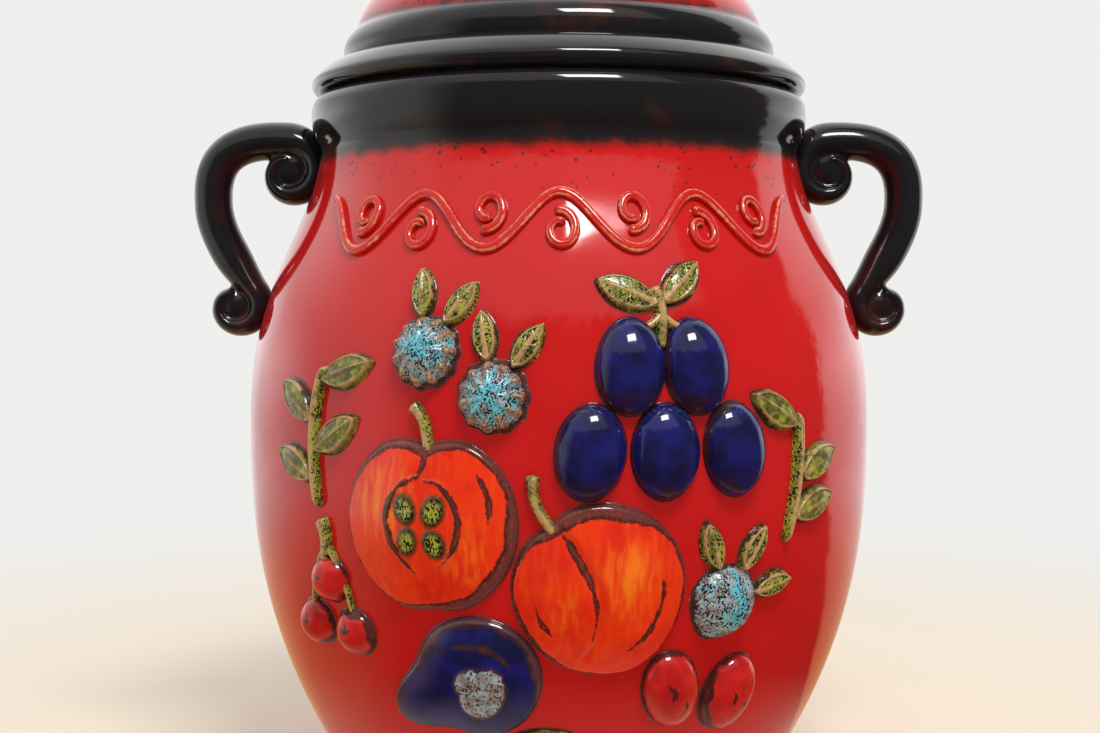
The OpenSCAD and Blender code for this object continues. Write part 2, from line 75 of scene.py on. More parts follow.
# %% The wall as a formula
MM = 0.001
belly_r, belly_z, foot_r, neck_r = 114.4, 136.0, 70.0, 88.5
crock_h, collar_h, collar_bulge, collar_sweep = 262.0, 20.0, 3.1, 160.0
foot_curve, shoulder_curve = 2.25, 1.5
groove_z = crock_h - collar_h
slip = 0.3


def smooth(t):
    """Rises from 0 to 1 with level ends."""
    return t * t * (3 - 2 * t)


def wall_r(z):
    """Radius of the crock's outer wall at a height."""
    z = np.asarray(z, float)
    below = np.clip((belly_z - z) / belly_z, 0, 1)
    lower = belly_r - (belly_r - foot_r) * below**foot_curve
    above = np.clip((z - belly_z) / (groove_z - belly_z), 0, 1)
    upper = belly_r - (belly_r - neck_r) * smooth(above**shoulder_curve)
    share = np.clip((z - groove_z) / collar_h, 0, 1)
    swell = np.clip(np.sin(np.radians(collar_sweep * share)), 0, 1)
    collar = neck_r + collar_bulge * swell**0.8
    return np.where(z < belly_z, lower, np.where(z < groove_z, upper, collar))


def on_wall(turn, z, lift):
    """Point at a turn from the front's middle, in degrees, and a height, lifted off the wall."""
    slope = wall_r(z + 0.5) - wall_r(z - 0.5)
    long = np.hypot(1, slope)
    r = wall_r(z) + lift / long
    turn = np.radians(turn)
    return np.stack([r * np.sin(turn), -r * np.cos(turn), z - lift * slope / long], -1)


print("wall radius at the belly and the groove:", float(wall_r(belly_z)), float(wall_r(groove_z)))

# %% [markdown]
# ## Parts and pieces
# Each piece of the pot is a few closed shells, such as a stem with its leaves. A shell is made as
# rows of points with faces between them, which is quick in numpy and gives even quads that shade
# smoothly. A piece joins its shells into one mesh, turns all faces outwards, keeps only the
# creases that are sharp on purpose, and stores extra fields, such as how far a point is from the
# edge of a leaf. The glazes read these fields later.

# %% Parts and pieces
def quads(rows, around, start=0):
    """Faces between rows of points that close on themselves."""
    i, j = np.meshgrid(np.arange(rows - 1), np.arange(around), indexing="ij")
    a, b = start + i * around + j, start + i * around + (j + 1) % around
    return np.stack([a, b, b + around, a + around], -1).reshape(-1, 4).tolist()


def cap(tip, first, around):
    """Triangles from one tip to a row of points."""
    return [[tip, first + (j + 1) % around, first + j] for j in range(around)]


def piece(name, shells, sharp=50):
    """One mesh object from shells of (points in millimetres, faces, fields)."""
    points, faces, fields = [], [], {}
    for shell_points, shell_faces, shell_fields in shells:
        start = sum(map(len, points))
        points.append(shell_points)
        faces += [[start + k for k in face] for face in shell_faces]
        for field, values in shell_fields.items():
            fields.setdefault(field, []).append(values)
    mesh = bpy.data.meshes.new(name)
    mesh.from_pydata((np.concatenate(points) * MM).tolist(), [], faces)
    turner = bmesh.new()
    turner.from_mesh(mesh)
    bmesh.ops.recalc_face_normals(turner, faces=turner.faces)
    volume = turner.calc_volume() / MM**3
    turner.to_mesh(mesh)
    turner.free()
    mesh.shade_smooth()
    mesh.set_sharp_from_angle(angle=math.radians(sharp))
    for field, values in fields.items():
        layer = mesh.attributes.new(field, "FLOAT", "POINT")
        layer.data.foreach_set("value", np.concatenate(values).astype(np.float32))
    obj = bpy.data.objects.new(name, mesh)
    bpy.context.scene.collection.objects.link(obj)
    print(f"{name}: {len(mesh.vertices)} points, {volume:.0f} mm3")
    return obj


def settle(obj, body, slot, *nodes):
    """The piece rides on a body and stands for its CAD nodes, which are hidden; slot is not used."""
    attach(obj, body)
    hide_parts(*nodes)
    return obj


# %% [markdown]
# ## Turning an outline
# Blender has a Screw modifier for this, but here the rows are wanted as numbers, so that
# the inside of the pot can carry its own field for the lining glaze. The outline starts and ends
# on the axis, where a fan of triangles closes it.

# %% Turning an outline
def arc(centre, r, start, end, steps):
    """Points on an arc round a centre."""
    a = np.radians(np.linspace(start, end, steps + 1))
    return np.stack([centre[0] + r * np.cos(a), centre[1] + r * np.sin(a)], -1)


def turned(outline, lined=None, around=288):
    """Shell of revolution from an outline of [radius, height] that starts and ends on the axis."""
    outline = np.asarray(outline, float)
    a = np.linspace(0, 2 * np.pi, around, endpoint=False)
    r, z = outline[1:-1, :1], outline[1:-1, 1:]
    rows = np.stack([r * np.sin(a), -r * np.cos(a), z + 0 * a], -1).reshape(-1, 3)
    ends = np.array([[0, 0, outline[0, 1]], [0, 0, outline[-1, 1]]])
    n = len(outline) - 2
    faces = cap(0, 2, around) + quads(n, around, 2)
    faces += [face[::-1] for face in cap(1, 2 + (n - 1) * around, around)]
    if lined is None:
        lined = np.zeros(len(outline))
    fields = {"lined": np.concatenate([lined[[0, -1]], np.repeat(lined[1:-1], around)])}
    return np.concatenate([ends, rows]), faces, fields


# %% [markdown]
# ## The crock
# The real crock has a foot ring that is wiped clean of glaze, a wall about 6 mm thick and a flat
# seat for the lid. Nobody sees the inside until the lid is lifted, but then the wall has to have a
# thickness, so inside and outside are one outline. The steps are 1.5 mm high, fine enough for
# the long reflections on the glaze to run without kinks. The collar's top edge is rounder than in
# the CAD source, since glaze rounds it, and that opens the dark groove under the lid.

# %% The crock
wall, mouth_r, collar_edge = 6.5, 79.0, 6.8
foot_h, foot_w, floor_t, floor_fillet = 3.5, 9.0, 8.0, 12.0
throat_h, throat_ease = 22.0, 30.0


def inside_r(z):
    """Radius of the crock's inside at a height."""
    throat_z = crock_h - throat_h
    t = smooth(np.clip((z - throat_z + throat_ease) / throat_ease, 0, 1))
    return (1 - t) * (wall_r(np.minimum(z, throat_z)) - wall) + t * mouth_r


edge_z = crock_h - collar_edge
inside_z = foot_h + floor_t + floor_fillet
outer_z = np.concatenate([np.arange(1.5, edge_z - 1, 1.5), [edge_z]])
inner_z = np.linspace(crock_h, inside_z, 150)
foot_ring = [[0, foot_h], [foot_r - foot_w - foot_h, foot_h], [foot_r - foot_w - 1, 0.6],
             [foot_r - foot_w + 0.6, 0], [foot_r - 2.4, 0], [foot_r - 1.2, 0.4]]
crock_outside = np.concatenate([
    foot_ring,
    np.stack([wall_r(outer_z), outer_z], -1),
    arc((wall_r(edge_z) - collar_edge, edge_z), collar_edge, 8, 90, 10),
])
crock_inside = np.concatenate([
    [[mouth_r + 1.2, crock_h], [mouth_r + 0.35, crock_h - 0.35]],
    np.stack([inside_r(inner_z[2:]), inner_z[2:]], -1),
    arc((inside_r(inside_z) - floor_fillet, inside_z), floor_fillet, -8, -90, 12),
    [[0, foot_h + floor_t]],
])
lined = np.repeat([0.0, 1.0], [len(crock_outside), len(crock_inside)])
crock = piece("crock", [turned(np.concatenate([crock_outside, crock_inside]), lined)])
settle(crock, "pot", "red_glaze", "pot_body")

# %% [markdown]
# ## The lid
# The lid's outline is a row of arcs that run into each other: a thin lip, its sloping top, a fat
# bead and the dome. On the real lid the glaze lies thick in the hollows between them, and it is
# those hollows that catch the dark lines in the picture. The arcs' centres come from the same
# sizes as the CAD lid, and a ring under the lip centres it in the mouth.

# %% The lid
lip_r, lip_edge, lip_crown, lip_turn = 91.4, 3.0, 28.0, 42
bead_r, bead_roll, bead_rise, bead_end = 79.7, 9.0, 15.3, 57
dome_r, dome_roll, dome_rise, dome_start, crown_angle = 76.0, 30.0, 16.2, 15, 72
lid_wall, spigot_h, spigot_t, spigot_gap = 6.0, 12.0, 5.0, 1.5
knob_foot_r = 13.0


def polar(c, r, a):
    """Point at a distance and an angle in degrees from c."""
    return np.array([c[0] + r * math.cos(math.radians(a)), c[1] + r * math.sin(math.radians(a))])


lip_c = (lip_r - lip_edge, crock_h + lip_edge)
lip_top_c = polar(lip_c, lip_edge - lip_crown, lip_turn)
lip_end = math.degrees(math.acos((bead_r - 0.4 - lip_top_c[0]) / lip_crown))
bead_c = (bead_r - bead_roll, crock_h + bead_rise)
bead_low = lip_top_c[1] + lip_crown * math.sin(math.radians(lip_end)) - bead_c[1]
bead_start = math.degrees(math.asin(max(-0.9, bead_low / bead_roll)))
dome_c = (dome_r - dome_roll, crock_h + dome_rise)
crown_r = polar(dome_c, dome_roll, crown_angle)[0] / math.cos(math.radians(crown_angle))
crown_z = dome_c[1] + (dome_roll - crown_r) * math.sin(math.radians(crown_angle))
knob_foot_a = math.degrees(math.acos(knob_foot_r / crown_r))
knob_seat_z = crown_z + crown_r * math.sin(math.radians(knob_foot_a))
ring_r = mouth_r - spigot_gap
inner_r = ring_r - spigot_t

lid_under = np.concatenate([
    arc((0, crown_z), crown_r - lid_wall, 90, crown_angle, 14),
    arc(dome_c, dome_roll - lid_wall, crown_angle - 3, 0, 24),
    [[inner_r, crock_h + 2], [inner_r, crock_h - spigot_h + 1], [inner_r + 1, crock_h - spigot_h],
     [ring_r - 1, crock_h - spigot_h], [ring_r, crock_h - spigot_h + 1], [ring_r, crock_h]],
])
lid_top = np.concatenate([
    arc(lip_c, lip_edge, -90, lip_turn, 20),
    arc(lip_top_c, lip_crown, lip_turn + 2, lip_end, 16),
    arc(bead_c, bead_roll, bead_start, bead_end, 30),
    arc(dome_c, dome_roll, dome_start, crown_angle, 40),
    arc((0, crown_z), crown_r, crown_angle + 1, knob_foot_a, 16),
    [[0, knob_seat_z]],
])
lined = np.repeat([1.0, 0.0], [len(lid_under), len(lid_top)])
lid = piece("lid_dome", [turned(np.concatenate([lid_under, lid_top]), lined)], sharp=60)
settle(lid, "lid", "red_glaze", "lid")
print("seat of the knob at", round(knob_seat_z, 1), "mm")

# %% [markdown]
# ## The knob
# The photograph cuts the lid off below its knob, so this one is a guess: a plain turned
# button with a waist, as on most crocks of this kind. A cubic curve gives the waist, and half an
# ellipse the head. It is turned on its own and set on the dome's flat seat, as a potter does.

# %% The knob
knob_r, knob_h, knob_stem_r, head_flat, head_start, foot_roll = 17.0, 24.0, 10.0, 0.62, -52, 1.6


def bezier(handles, t):
    """Points on a cubic curve with four handles."""
    p, t = np.asarray(handles, float), np.asarray(t, float)[:, None]
    return (1 - t)**3 * p[0] + 3 * t * (1 - t)**2 * p[1] + 3 * t * t * (1 - t) * p[2] + t**3 * p[3]


head_z = knob_seat_z + knob_h - knob_r * head_flat
head_a = np.radians(np.linspace(head_start, 90, 40))
head = np.stack([knob_r * np.cos(head_a), head_z + knob_r * head_flat * np.sin(head_a)], -1)
waist = [[knob_foot_r, knob_seat_z + foot_roll], [knob_stem_r, knob_seat_z + 2 * foot_roll],
         [knob_stem_r - 1, head[0, 1] - 2 * foot_roll], head[0]]
knob_base_r = knob_foot_r + 0.3
knob_outline = np.concatenate([
    [[0, knob_seat_z - 1], [knob_base_r, knob_seat_z - 1], [knob_base_r, knob_seat_z + 0.4]],
    bezier(waist, np.linspace(0, 1, 24)), head[1:],
])
knob = piece("knob", [turned(knob_outline, around=128)])
settle(knob, "lid", "black_glaze", "lid_knob")

# %% [markdown]
# ## The scroll handles
# Each handle is a pulled strap that curls up at both ends and is luted to the wall. A curve object
# with a bevel would make the loop, but not the tight scrolls, where the strap gets thinner
# and lies against itself. So the strap is swept by hand: a row of stations, each with a half
# thickness, and at each a section with a soft ridge down the front. A thin disc closes the middle
# of each scroll. A voxel remesh then melts all of it into one skin, and a few smoothing steps
# round it, as thick glaze does.

# %% The strap's path
strap_t, strap_depth, scroll_t, tip_t, eye_r = 7.1, 8.5, 5.2, 2.0, 3.6
upper_turn_r, upper_turn_in, lower_turn_r, lower_turn_in = 10.4, 6.0, 8.6, 4.0
upper_start, lower_start, scroll_end = 90, 140, 440
eye_span, loop_out, upper_eye_drop, upper_eye_out, lower_eye_out = 51.0, 8.8, 26.0, 11.4, 12.6
upper_eye_z = crock_h - upper_eye_drop
lower_eye_z = upper_eye_z - eye_span
upper_eye = np.array([wall_r(upper_eye_z) + upper_eye_out, upper_eye_z])
lower_eye = np.array([wall_r(lower_eye_z) + lower_eye_out, lower_eye_z])
loop_end = np.array([lower_eye[0] + loop_out, upper_eye_z - eye_span / 4])


def scroll(eye, r, a, t):
    """Stations round a scroll's eye as [out, up, half thickness]."""
    a = np.radians(a)
    return np.stack([eye[0] + r * np.cos(a), eye[1] + r * np.sin(a), t], -1)


def upper_scroll(a):
    """Stations of the upper scroll at some angles: it runs in late, and thins all the way."""
    s = (np.asarray(a, float) - upper_start) / (scroll_end - upper_start)
    r = upper_turn_r * (1 - 0.077 * np.minimum(2 * s, 1))
    r = r - upper_turn_in * smooth(np.maximum(2 * s - 1, 0))
    t = strap_t + (scroll_t - strap_t) * np.minimum(4 * s, 1)
    return scroll(upper_eye, r, a, t - (scroll_t - tip_t) * np.maximum(s - 0.25, 0) / 0.75)


def lower_scroll(a):
    """Stations of the smaller lower scroll."""
    s = (np.asarray(a, float) - lower_start) / (scroll_end - lower_start)
    t = scroll_t - (scroll_t - tip_t) * s
    return scroll(lower_eye, lower_turn_r - lower_turn_in * s * s, a, t)


low, high = lower_scroll([lower_start])[0, :2], upper_scroll([upper_start])[0, :2]
lower_run = [low, low + lower_turn_r * np.array([0.535, 0.767]),
             loop_end - [0, 0.235 * eye_span], loop_end]
upper_run = [loop_end, loop_end + eye_span * np.array([0.016, 0.333]),
             high + upper_turn_r * np.array([2.115, 0.135]), high]
t = np.linspace(0, 1, 37)[1:]
swell = scroll_t + (strap_t - scroll_t) * smooth(np.minimum(2 * t, 1))
strap_path = np.concatenate([
    lower_scroll(np.arange(scroll_end, lower_start - 1, -6)),
    np.column_stack([bezier(lower_run, t), swell]),
    np.column_stack([bezier(upper_run, t[:-1]), np.full(len(t) - 1, strap_t)]),
    upper_scroll(np.arange(upper_start, scroll_end - 1, 6)),
])
print("strap stations:", len(strap_path))

# %% [markdown]
# ## The strap and its beads
# At each station the section is a flattened round, half as deep again as it is thick, with a soft
# ridge down its front and back. The powers in it were tried against the highlights in the
# picture. The bead in a scroll's eye is a stretched ball that reaches almost through the strap.

# %% The strap and its beads
def strap_shell(sides=48, back=2.0):
    """Closed tube along the strap's path, with a soft ridge front and back."""
    run = np.gradient(strap_path[:, :2], axis=0)
    out = np.stack([run[:, 1], -run[:, 0]], -1) / np.linalg.norm(run, axis=1)[:, None]
    t = strap_path[:, 2:]
    phi = np.linspace(0, 2 * np.pi, sides, endpoint=False)
    across = np.cos(phi)
    ridge = np.sign(np.sin(phi)) * (1 - np.abs(across)**1.6)**0.5
    depth = strap_depth - back * (1 - t / strap_t)
    x = strap_path[:, :1] + out[:, :1] * t * across
    z = strap_path[:, 1:2] + out[:, 1:] * t * across
    rows = np.stack([x, depth * ridge, z], -1).reshape(-1, 3)
    n = len(strap_path)
    ends = np.array([[strap_path[k, 0], 0, strap_path[k, 1]] for k in (0, -1)])
    faces = cap(0, 2, sides) + quads(n, sides, 2)
    faces += [face[::-1] for face in cap(1, 2 + (n - 1) * sides, sides)]
    return np.concatenate([ends, rows]), faces, {}


def ball_shell(centre, radii, around=32, rows=16):
    """Closed ball with three half axes, for the bead in a scroll's eye."""
    lat = np.linspace(-np.pi / 2, np.pi / 2, rows + 1)[1:-1, None]
    a = np.linspace(0, 2 * np.pi, around, endpoint=False)
    ball = np.stack([np.cos(lat) * np.cos(a), np.cos(lat) * np.sin(a), np.sin(lat) + 0 * a], -1)
    points = np.concatenate([[[0, 0, -1], [0, 0, 1]], ball.reshape(-1, 3)])
    faces = cap(0, 2, around) + quads(rows - 1, around, 2)
    faces += [face[::-1] for face in cap(1, 2 + (rows - 2) * around, around)]
    return points * radii + centre, faces, {}


# %% [markdown]
# ## Melting a handle into one skin
# The tube, the beads and the webs overlap. A remesh at 0.7 mm joins them, and seven rounds of
# smoothing take the steps out again and leave the soft dip between two turns of a scroll, which
# is where the glaze pools.

# %% Melting a handle into one skin
def melt(obj, voxel, times):
    """Joins overlapping shells into one rounded skin."""
    skin = obj.modifiers.new("skin", "REMESH")
    skin.mode, skin.voxel_size, skin.use_smooth_shade = "VOXEL", voxel * MM, True
    ease = obj.modifiers.new("ease", "SMOOTH")
    ease.factor, ease.iterations = 0.5, times
    evaluated = obj.evaluated_get(bpy.context.evaluated_depsgraph_get())
    obj.data = bpy.data.meshes.new_from_object(evaluated)
    obj.modifiers.clear()
    obj.data.shade_smooth()
    print(f"{obj.name}: {len(obj.data.vertices)} points after melting")


web_r, web_depth, bead_depth = 8.5, 6.6, strap_depth - 1.6
curls = [strap_shell()]
for eye, share in ((upper_eye, 1.0), (lower_eye, 0.85)):
    middle = [eye[0], 0, eye[1]]
    curls.append(ball_shell(middle, [eye_r, bead_depth, eye_r]))
    curls.append(ball_shell(middle, [web_r * share, web_depth, web_r * share]))
handles = []
for side, name in ((-1, "left"), (1, "right")):
    shells = [(points * [side, 1, 1], faces, fields) for points, faces, fields in curls]
    handle = piece(f"scroll_handle_{name}", shells)
    melt(handle, voxel=0.7, times=7)
    handles.append(settle(handle, "pot", "black_glaze", f"handle_{name}"))

# %% [markdown]
# ## Sprigs: raised fruit
# A sprig is clay pressed in a small mould and stuck to the wall with slip. Each fruit here is a
# patch that is built on a flat polar grid, then wrapped on the wall: the grid's x runs round the
# pot and its y runs up it. The height at each point is a plain function, so a core line or a
# seed is just a little added height. The edge rounds down to the wall, and a thin apron of glaze
# runs out beyond it, since a real sprig never meets the pot in a sharp corner.
# The fields hold distances in millimetres: from the edge, and from the painted brush strokes.

# %% A sprig on the wall
def bump(a, a0, k, width):
    """Soft bump of share k round the angle a0."""
    return k * np.exp(-(np.abs((a - a0 + 540) % 360 - 180) / width)**2)


def brush_width(a, seed, thin, thick):
    """Width of a brushed line at an angle: thick and thin by turns, never the same twice."""
    rng = np.random.default_rng(seed)
    wave = sum(rng.uniform(0.4, 1) / k * np.sin(np.radians(k * a + rng.uniform(0, 360)))
               for k in (1, 2, 3, 5, 9))
    wave = (wave - wave.min()) / (wave.max() - wave.min())
    return thin + (thick - thin) * wave**1.6


# The apron's profile: how far it has run out, in shares of its width, and its height there.
# Its last row is buried in the wall, and so is the middle of the patch's back.
buried, back_middle = -0.9, -1.5
apron_out = np.array([[0.15], [0.5], [1.0], [1.35]])
apron_up = np.array([[0.34], [0.14], [0.06], [buried]])


def sprig(at, edge, height, seed, line, fields, rings=44, spokes=200, apron=0.8, roll=1.5):
    """Shell of a raised patch round (u, z): edge(a) is its radius, height(x, y, s) its height.

    The line is the least and greatest width of its brushed outline, the fields are rules of x
    and y that the glaze reads, and roll is the radius of its rounded edge.
    """
    a = np.linspace(0, 360, spokes, endpoint=False)
    r = edge(a)
    s = np.sin(np.radians(np.linspace(0, 90, rings + 1)[1:]))[:, None] + 0 * a
    x, y, inward = s * r * np.cos(np.radians(a)), s * r * np.sin(np.radians(a)), (1 - s) * r
    rounding = np.sqrt(1 - (1 - np.clip(inward / roll, 0, 1))**2)
    lift = slip + height(x, y, s) * rounding
    outwards = apron * brush_width(a, seed + 50, 0.5, 1.0) * apron_out
    x = np.concatenate([x, (r + outwards) * np.cos(np.radians(a))])
    y = np.concatenate([y, (r + outwards) * np.sin(np.radians(a))])
    inward = np.concatenate([inward, -outwards])
    lift = np.concatenate([lift, apron_up + 0 * a])
    middle = slip + height(np.zeros(1), np.zeros(1), np.zeros(1))
    x, y, inward = [np.concatenate([[end, end], v.ravel()])
                    for v, end in ((x, 0), (y, 0), (inward, r.mean()))]
    lift = np.concatenate([middle, [back_middle], lift.ravel()])
    turn = np.degrees(at[0] / belly_r + x / wall_r(at[1]))
    rows = rings + len(apron_out)
    faces = cap(0, 2, spokes) + quads(rows, spokes, 2)
    faces += [face[::-1] for face in cap(1, 2 + (rows - 1) * spokes, spokes)]
    width = brush_width(np.degrees(np.arctan2(y, x)), seed, *line)
    values = {"inward": inward, "stroke": inward - width}
    for field, rule in fields.items():
        values[field] = rule(x, y)
    if "strokes" in values:
        values["stroke"] = np.minimum(values["stroke"], values.pop("strokes"))
    return on_wall(turn, at[1] + y, lift), faces, values


# %% [markdown]
# ## Small rules for relief and paint
# These few rules are shared by the fruits. Each gives a height or a distance on the flat
# grid. Distances are better than painted masks: they stay sharp between the points of
# the mesh, and the glaze can roughen them with noise, as a dry brush does.

# %% Small rules for relief and paint
relief_edge = 1.6


def crowned(h):
    """Height of a gently crowned relief."""
    return lambda x, y, s: relief_edge + (h - relief_edge) * (1 - s * s)


def domed(h):
    """Height of a round relief."""
    return lambda x, y, s: h * np.maximum(1 - s * s, 0)**0.55


def oval(l, w, turn):
    """Radius of an oval whose long axis points at an angle."""
    def edge(a):
        a = np.radians(a - turn)
        return l * w / np.hypot(w * np.cos(a), l * np.sin(a))

    return edge


def cheek(*spots):
    """Soft spots of [x, y, half width, half height, share], where a second glaze was wiped on."""
    return lambda x, y: sum(share * np.exp(-((x - x0) / w)**2 - ((y - y0) / h)**2)
                            for x0, y0, w, h, share in spots)


def nowhere(x, y):
    """Distance to something that a fruit doesn't have."""
    return 99 + 0 * x


# %% [markdown]
# ## Distances for the brush
# A brush stroke is a line of a few points, each with half the brush's width there. The distance
# to it is measured once for every point of a patch. Seeds and pips are ovals, and what counts is
# the distance to the nearest of them.

# %% Distances for the brush
def to_line(x, y, line):
    """Distance to a line through points [x, y, half width], less the half width."""
    nearest = np.full(np.shape(x), 99.0)
    for (x0, y0, w0), (x1, y1, w1) in zip(line, line[1:]):
        long = (x1 - x0)**2 + (y1 - y0)**2
        t = np.clip(((x - x0) * (x1 - x0) + (y - y0) * (y1 - y0)) / long, 0, 1)
        gap = np.hypot(x - x0 - t * (x1 - x0), y - y0 - t * (y1 - y0)) - w0 - t * (w1 - w0)
        nearest = np.minimum(nearest, gap)
    return nearest


def to_ovals(x, y, ovals):
    """Distance to the edge of the nearest oval of [x, y, length, width, turn]."""
    nearest = np.full(np.shape(x), 99.0)
    for x0, y0, l, w, turn in ovals:
        c, s = math.cos(math.radians(turn)), math.sin(math.radians(turn))
        along, across = (x - x0) * c + (y - y0) * s, (y - y0) * c - (x - x0) * s
        nearest = np.minimum(nearest, (np.hypot(along / l, across / w) - 1) * min(l, w))
    return nearest


def brushed(points, steps=6):
    """Smooth line through a few points of [x, y, half width]."""
    p = np.asarray(points, float)
    p = np.concatenate([2 * p[:1] - p[1:2], p, 2 * p[-1:] - p[-2:-1]])
    t = np.linspace(0, 1, steps, endpoint=False)[:, None]
    runs = [b + t * (c - a) / 2 + t * t * (2 * a - 5 * b + 4 * c - d) / 2
            + t**3 * (3 * b - a - 3 * c + d) / 2
            for a, b, c, d in zip(p, p[1:], p[2:], p[3:])]
    line = np.concatenate([*runs, p[-2:-1]])
    line[:, 2] = np.maximum(line[:, 2], 0.12)
    return line


def strokes_of(lines):
    """Rule for the distance to the nearest of some brush strokes."""
    return lambda x, y: np.minimum.reduce([to_line(x, y, line) for line in lines])


def pad(distance, height, soft=0.8):
    """A low pad of a height where the distance is negative."""
    return height * smooth(np.clip(0.5 - distance / soft, 0, 1))


# %% [markdown]
# ## Where the fruits sit
# The arrangement starts with the apple, and every other fruit is set beside its neighbour at an
# angle, with a finger's gap. So one size can change without two sprigs growing into each
# other. The numbers repeat the CAD source: u runs round the belly, z is the height.

# %% Where the fruits sit
fruit_gap, fruit_relief, seam = 2.0, 6.5, 0.6
apple_r, peach_r, fig_r = 29.0, 27.0, 20.0
damson_l, damson_w, damson_relief = 14.5, 10.5, 7.5
gooseberry_r, hazelnut_r, cranberry_r, hip_l, hip_w = 12.0, 13.0, 8.0, 13.0, 9.5
leaf_l, leaf_w, leaf_relief, stalk_w, stalk_l = 15.0, 7.0, 3.0, 1.7, 11.0
band_z = crock_h - 50.0


def beside(p, reach, a):
    """Place beside p, far enough for two fruits whose radii add up to reach."""
    return polar(p, reach + fruit_gap, a)


apple_at = np.array([-42.0, band_z - 94])
peach_at = beside(apple_at, apple_r + peach_r, -20)
fig_at = beside(apple_at, apple_r + fig_r, -74)
damsons_at = beside(peach_at, peach_r + 2.07 * damson_l, 70)
gooseberry_a_at = beside(apple_at, apple_r + gooseberry_r + fruit_gap, 62)
gooseberry_b_at = beside(gooseberry_a_at, 2 * gooseberry_r, 150)
hazelnut_at = beside(peach_at, peach_r + hazelnut_r + fruit_gap / 2, -8)
hips_at = beside(peach_at, peach_r + hip_l + fruit_gap / 2, -52)
cranberries_at = beside(apple_at, apple_r + 2.6 * cranberry_r, -142)
print("peach at", np.round(peach_at, 1), "and damsons at", np.round(damsons_at, 1), "mm")

# %% [markdown]
# ## The halved apple
# The biggest sprig shows a cut apple, so it is nearly flat, with a raised core line and a few
# pips. Both the line and the pips are extra height on the same patch, and the same distances
# are stored for the paint, so glaze and relief can't slip apart.

# %% The halved apple
apple_core = [
    brushed([[-1, 15, 0.5], [-7, 12, 0.8], [-11.2, 4, 1.1], [-9.5, -6, 0.8], [-3, -14, 0.4],
             [0, -17.5, 0.2]]),
    brushed([[1, 14, 0.2], [6.5, 12.5, 0.6], [11.5, 4.5, 1.0], [10.3, -6, 0.7], [4.5, -13, 0.2]])]
apple_strokes = [*apple_core,
                 brushed([[0, 25, 0.7], [0.5, 20, 1.0], [-1, 15, 0.4]]),
                 brushed([[17, 16, 0.2], [20.6, 8.5, 1.0], [20.5, 1, 0.2]])]
apple_pips = [[-4.7, 5.2, 4.4, 3.3, 108], [4.3, 4.9, 4.5, 3.4, 72],
              [-4.2, -4.6, 4.1, 3.1, 80], [4.4, -5.0, 4.2, 3.2, 108]]


def apple_height(x, y, s):
    """Height of the cut face, its core line and its pips."""
    h = crowned(fruit_relief)(x, y, s) + pad(strokes_of(apple_core)(x, y), 0.5)
    return h + pad(to_ovals(x, y, apple_pips), 0.7, 1.4)


def apple_edge(a):
    """Radius of the apple, with a dip for its stalk and one for its calyx."""
    return apple_r * (1 - bump(a, 90, 0.14, 20) - bump(a, 270, 0.07, 16))


apple = piece("apple_half_sprig", [sprig(
    apple_at, apple_edge, apple_height, 3, (0.9, 4.6), {
        "strokes": strokes_of(apple_strokes),
        "pips": lambda x, y: to_ovals(x, y, apple_pips),
        "blush": cheek((-13, 7, 12, 13, 1), (14, -8, 8, 12, 0.7)),
    }, rings=64, spokes=288)])
settle(apple, "pot", "orange_glaze", "apple_half")

# %% [markdown]
# ## The peach
# The peach is the same kind of patch with a cleft pressed into it, a little below the middle of a
# long brush stroke, and a yellow cheek.

# %% The peach
peach_cleft = brushed([[-13, 21, 0.2], [-9, 15, 1.0], [-3, 5, 1.4], [0, -5, 1.2],
                       [-1, -14, 0.7], [-4, -20, 0.2]])
peach_strokes = [brushed([[-11.5, 18, 0.2], [-8, 12.5, 1.2], [-3.6, 4, 0.9], [-1.4, -5, 0.5],
                          [-2.6, -14, 0.15]]),
                 brushed([[9, -18, 0.1], [15, -12, 0.8], [18.4, -3, 0.5], [18.5, 4, 0.1]]),
                 brushed([[-20, -3, 0.1], [-18, -9, 0.6], [-13.5, -14.5, 0.1]])]


def peach_height(x, y, s):
    """Height of the peach, with the cleft pressed in."""
    return crowned(fruit_relief)(x, y, s) - pad(to_line(x, y, peach_cleft), 1.5, 4.5)


def peach_edge(a):
    """Radius of the peach, with a dip for its stalk and a fuller cheek below."""
    return peach_r * (1 - bump(a, 128, 0.06, 14) + bump(a, 300, 0.05, 22))


peach = piece("peach_sprig", [sprig(
    peach_at, peach_edge, peach_height, 8, (0.8, 4.6), {
        "strokes": strokes_of(peach_strokes),
        "pips": nowhere,
        "blush": cheek((8, 6, 9, 14, 1), (-12, -4, 7, 9, 0.6)),
    }, rings=64, spokes=288)])
settle(peach, "pot", "orange_glaze", "peach")

# %% [markdown]
# ## The fig
# The fig is dark blue, with a split that shows a grey speckled heart. The heart stands a
# little proud, so the thin turquoise glaze breaks over it.

# %% The fig
fig_heart = [[2.5, -2.5, 8.6, 6.4, 62], [-1, 1.5, 5, 3.6, 30]]
fig_strokes = [brushed([[-12, 9, 0.1], [-3, 12, 1.1], [6, 10.5, 1.3], [12.5, 4, 0.1]])]


def fig_height(x, y, s):
    """Height of the fig, with its heart a little proud."""
    return crowned(fruit_relief)(x, y, s) + pad(to_ovals(x, y, fig_heart), 0.8, 1.6)


def fig_edge(a):
    """Radius of the fig, drawn out into a neck at the lower left."""
    return fig_r * (1 + bump(a, 205, 0.7, 22))


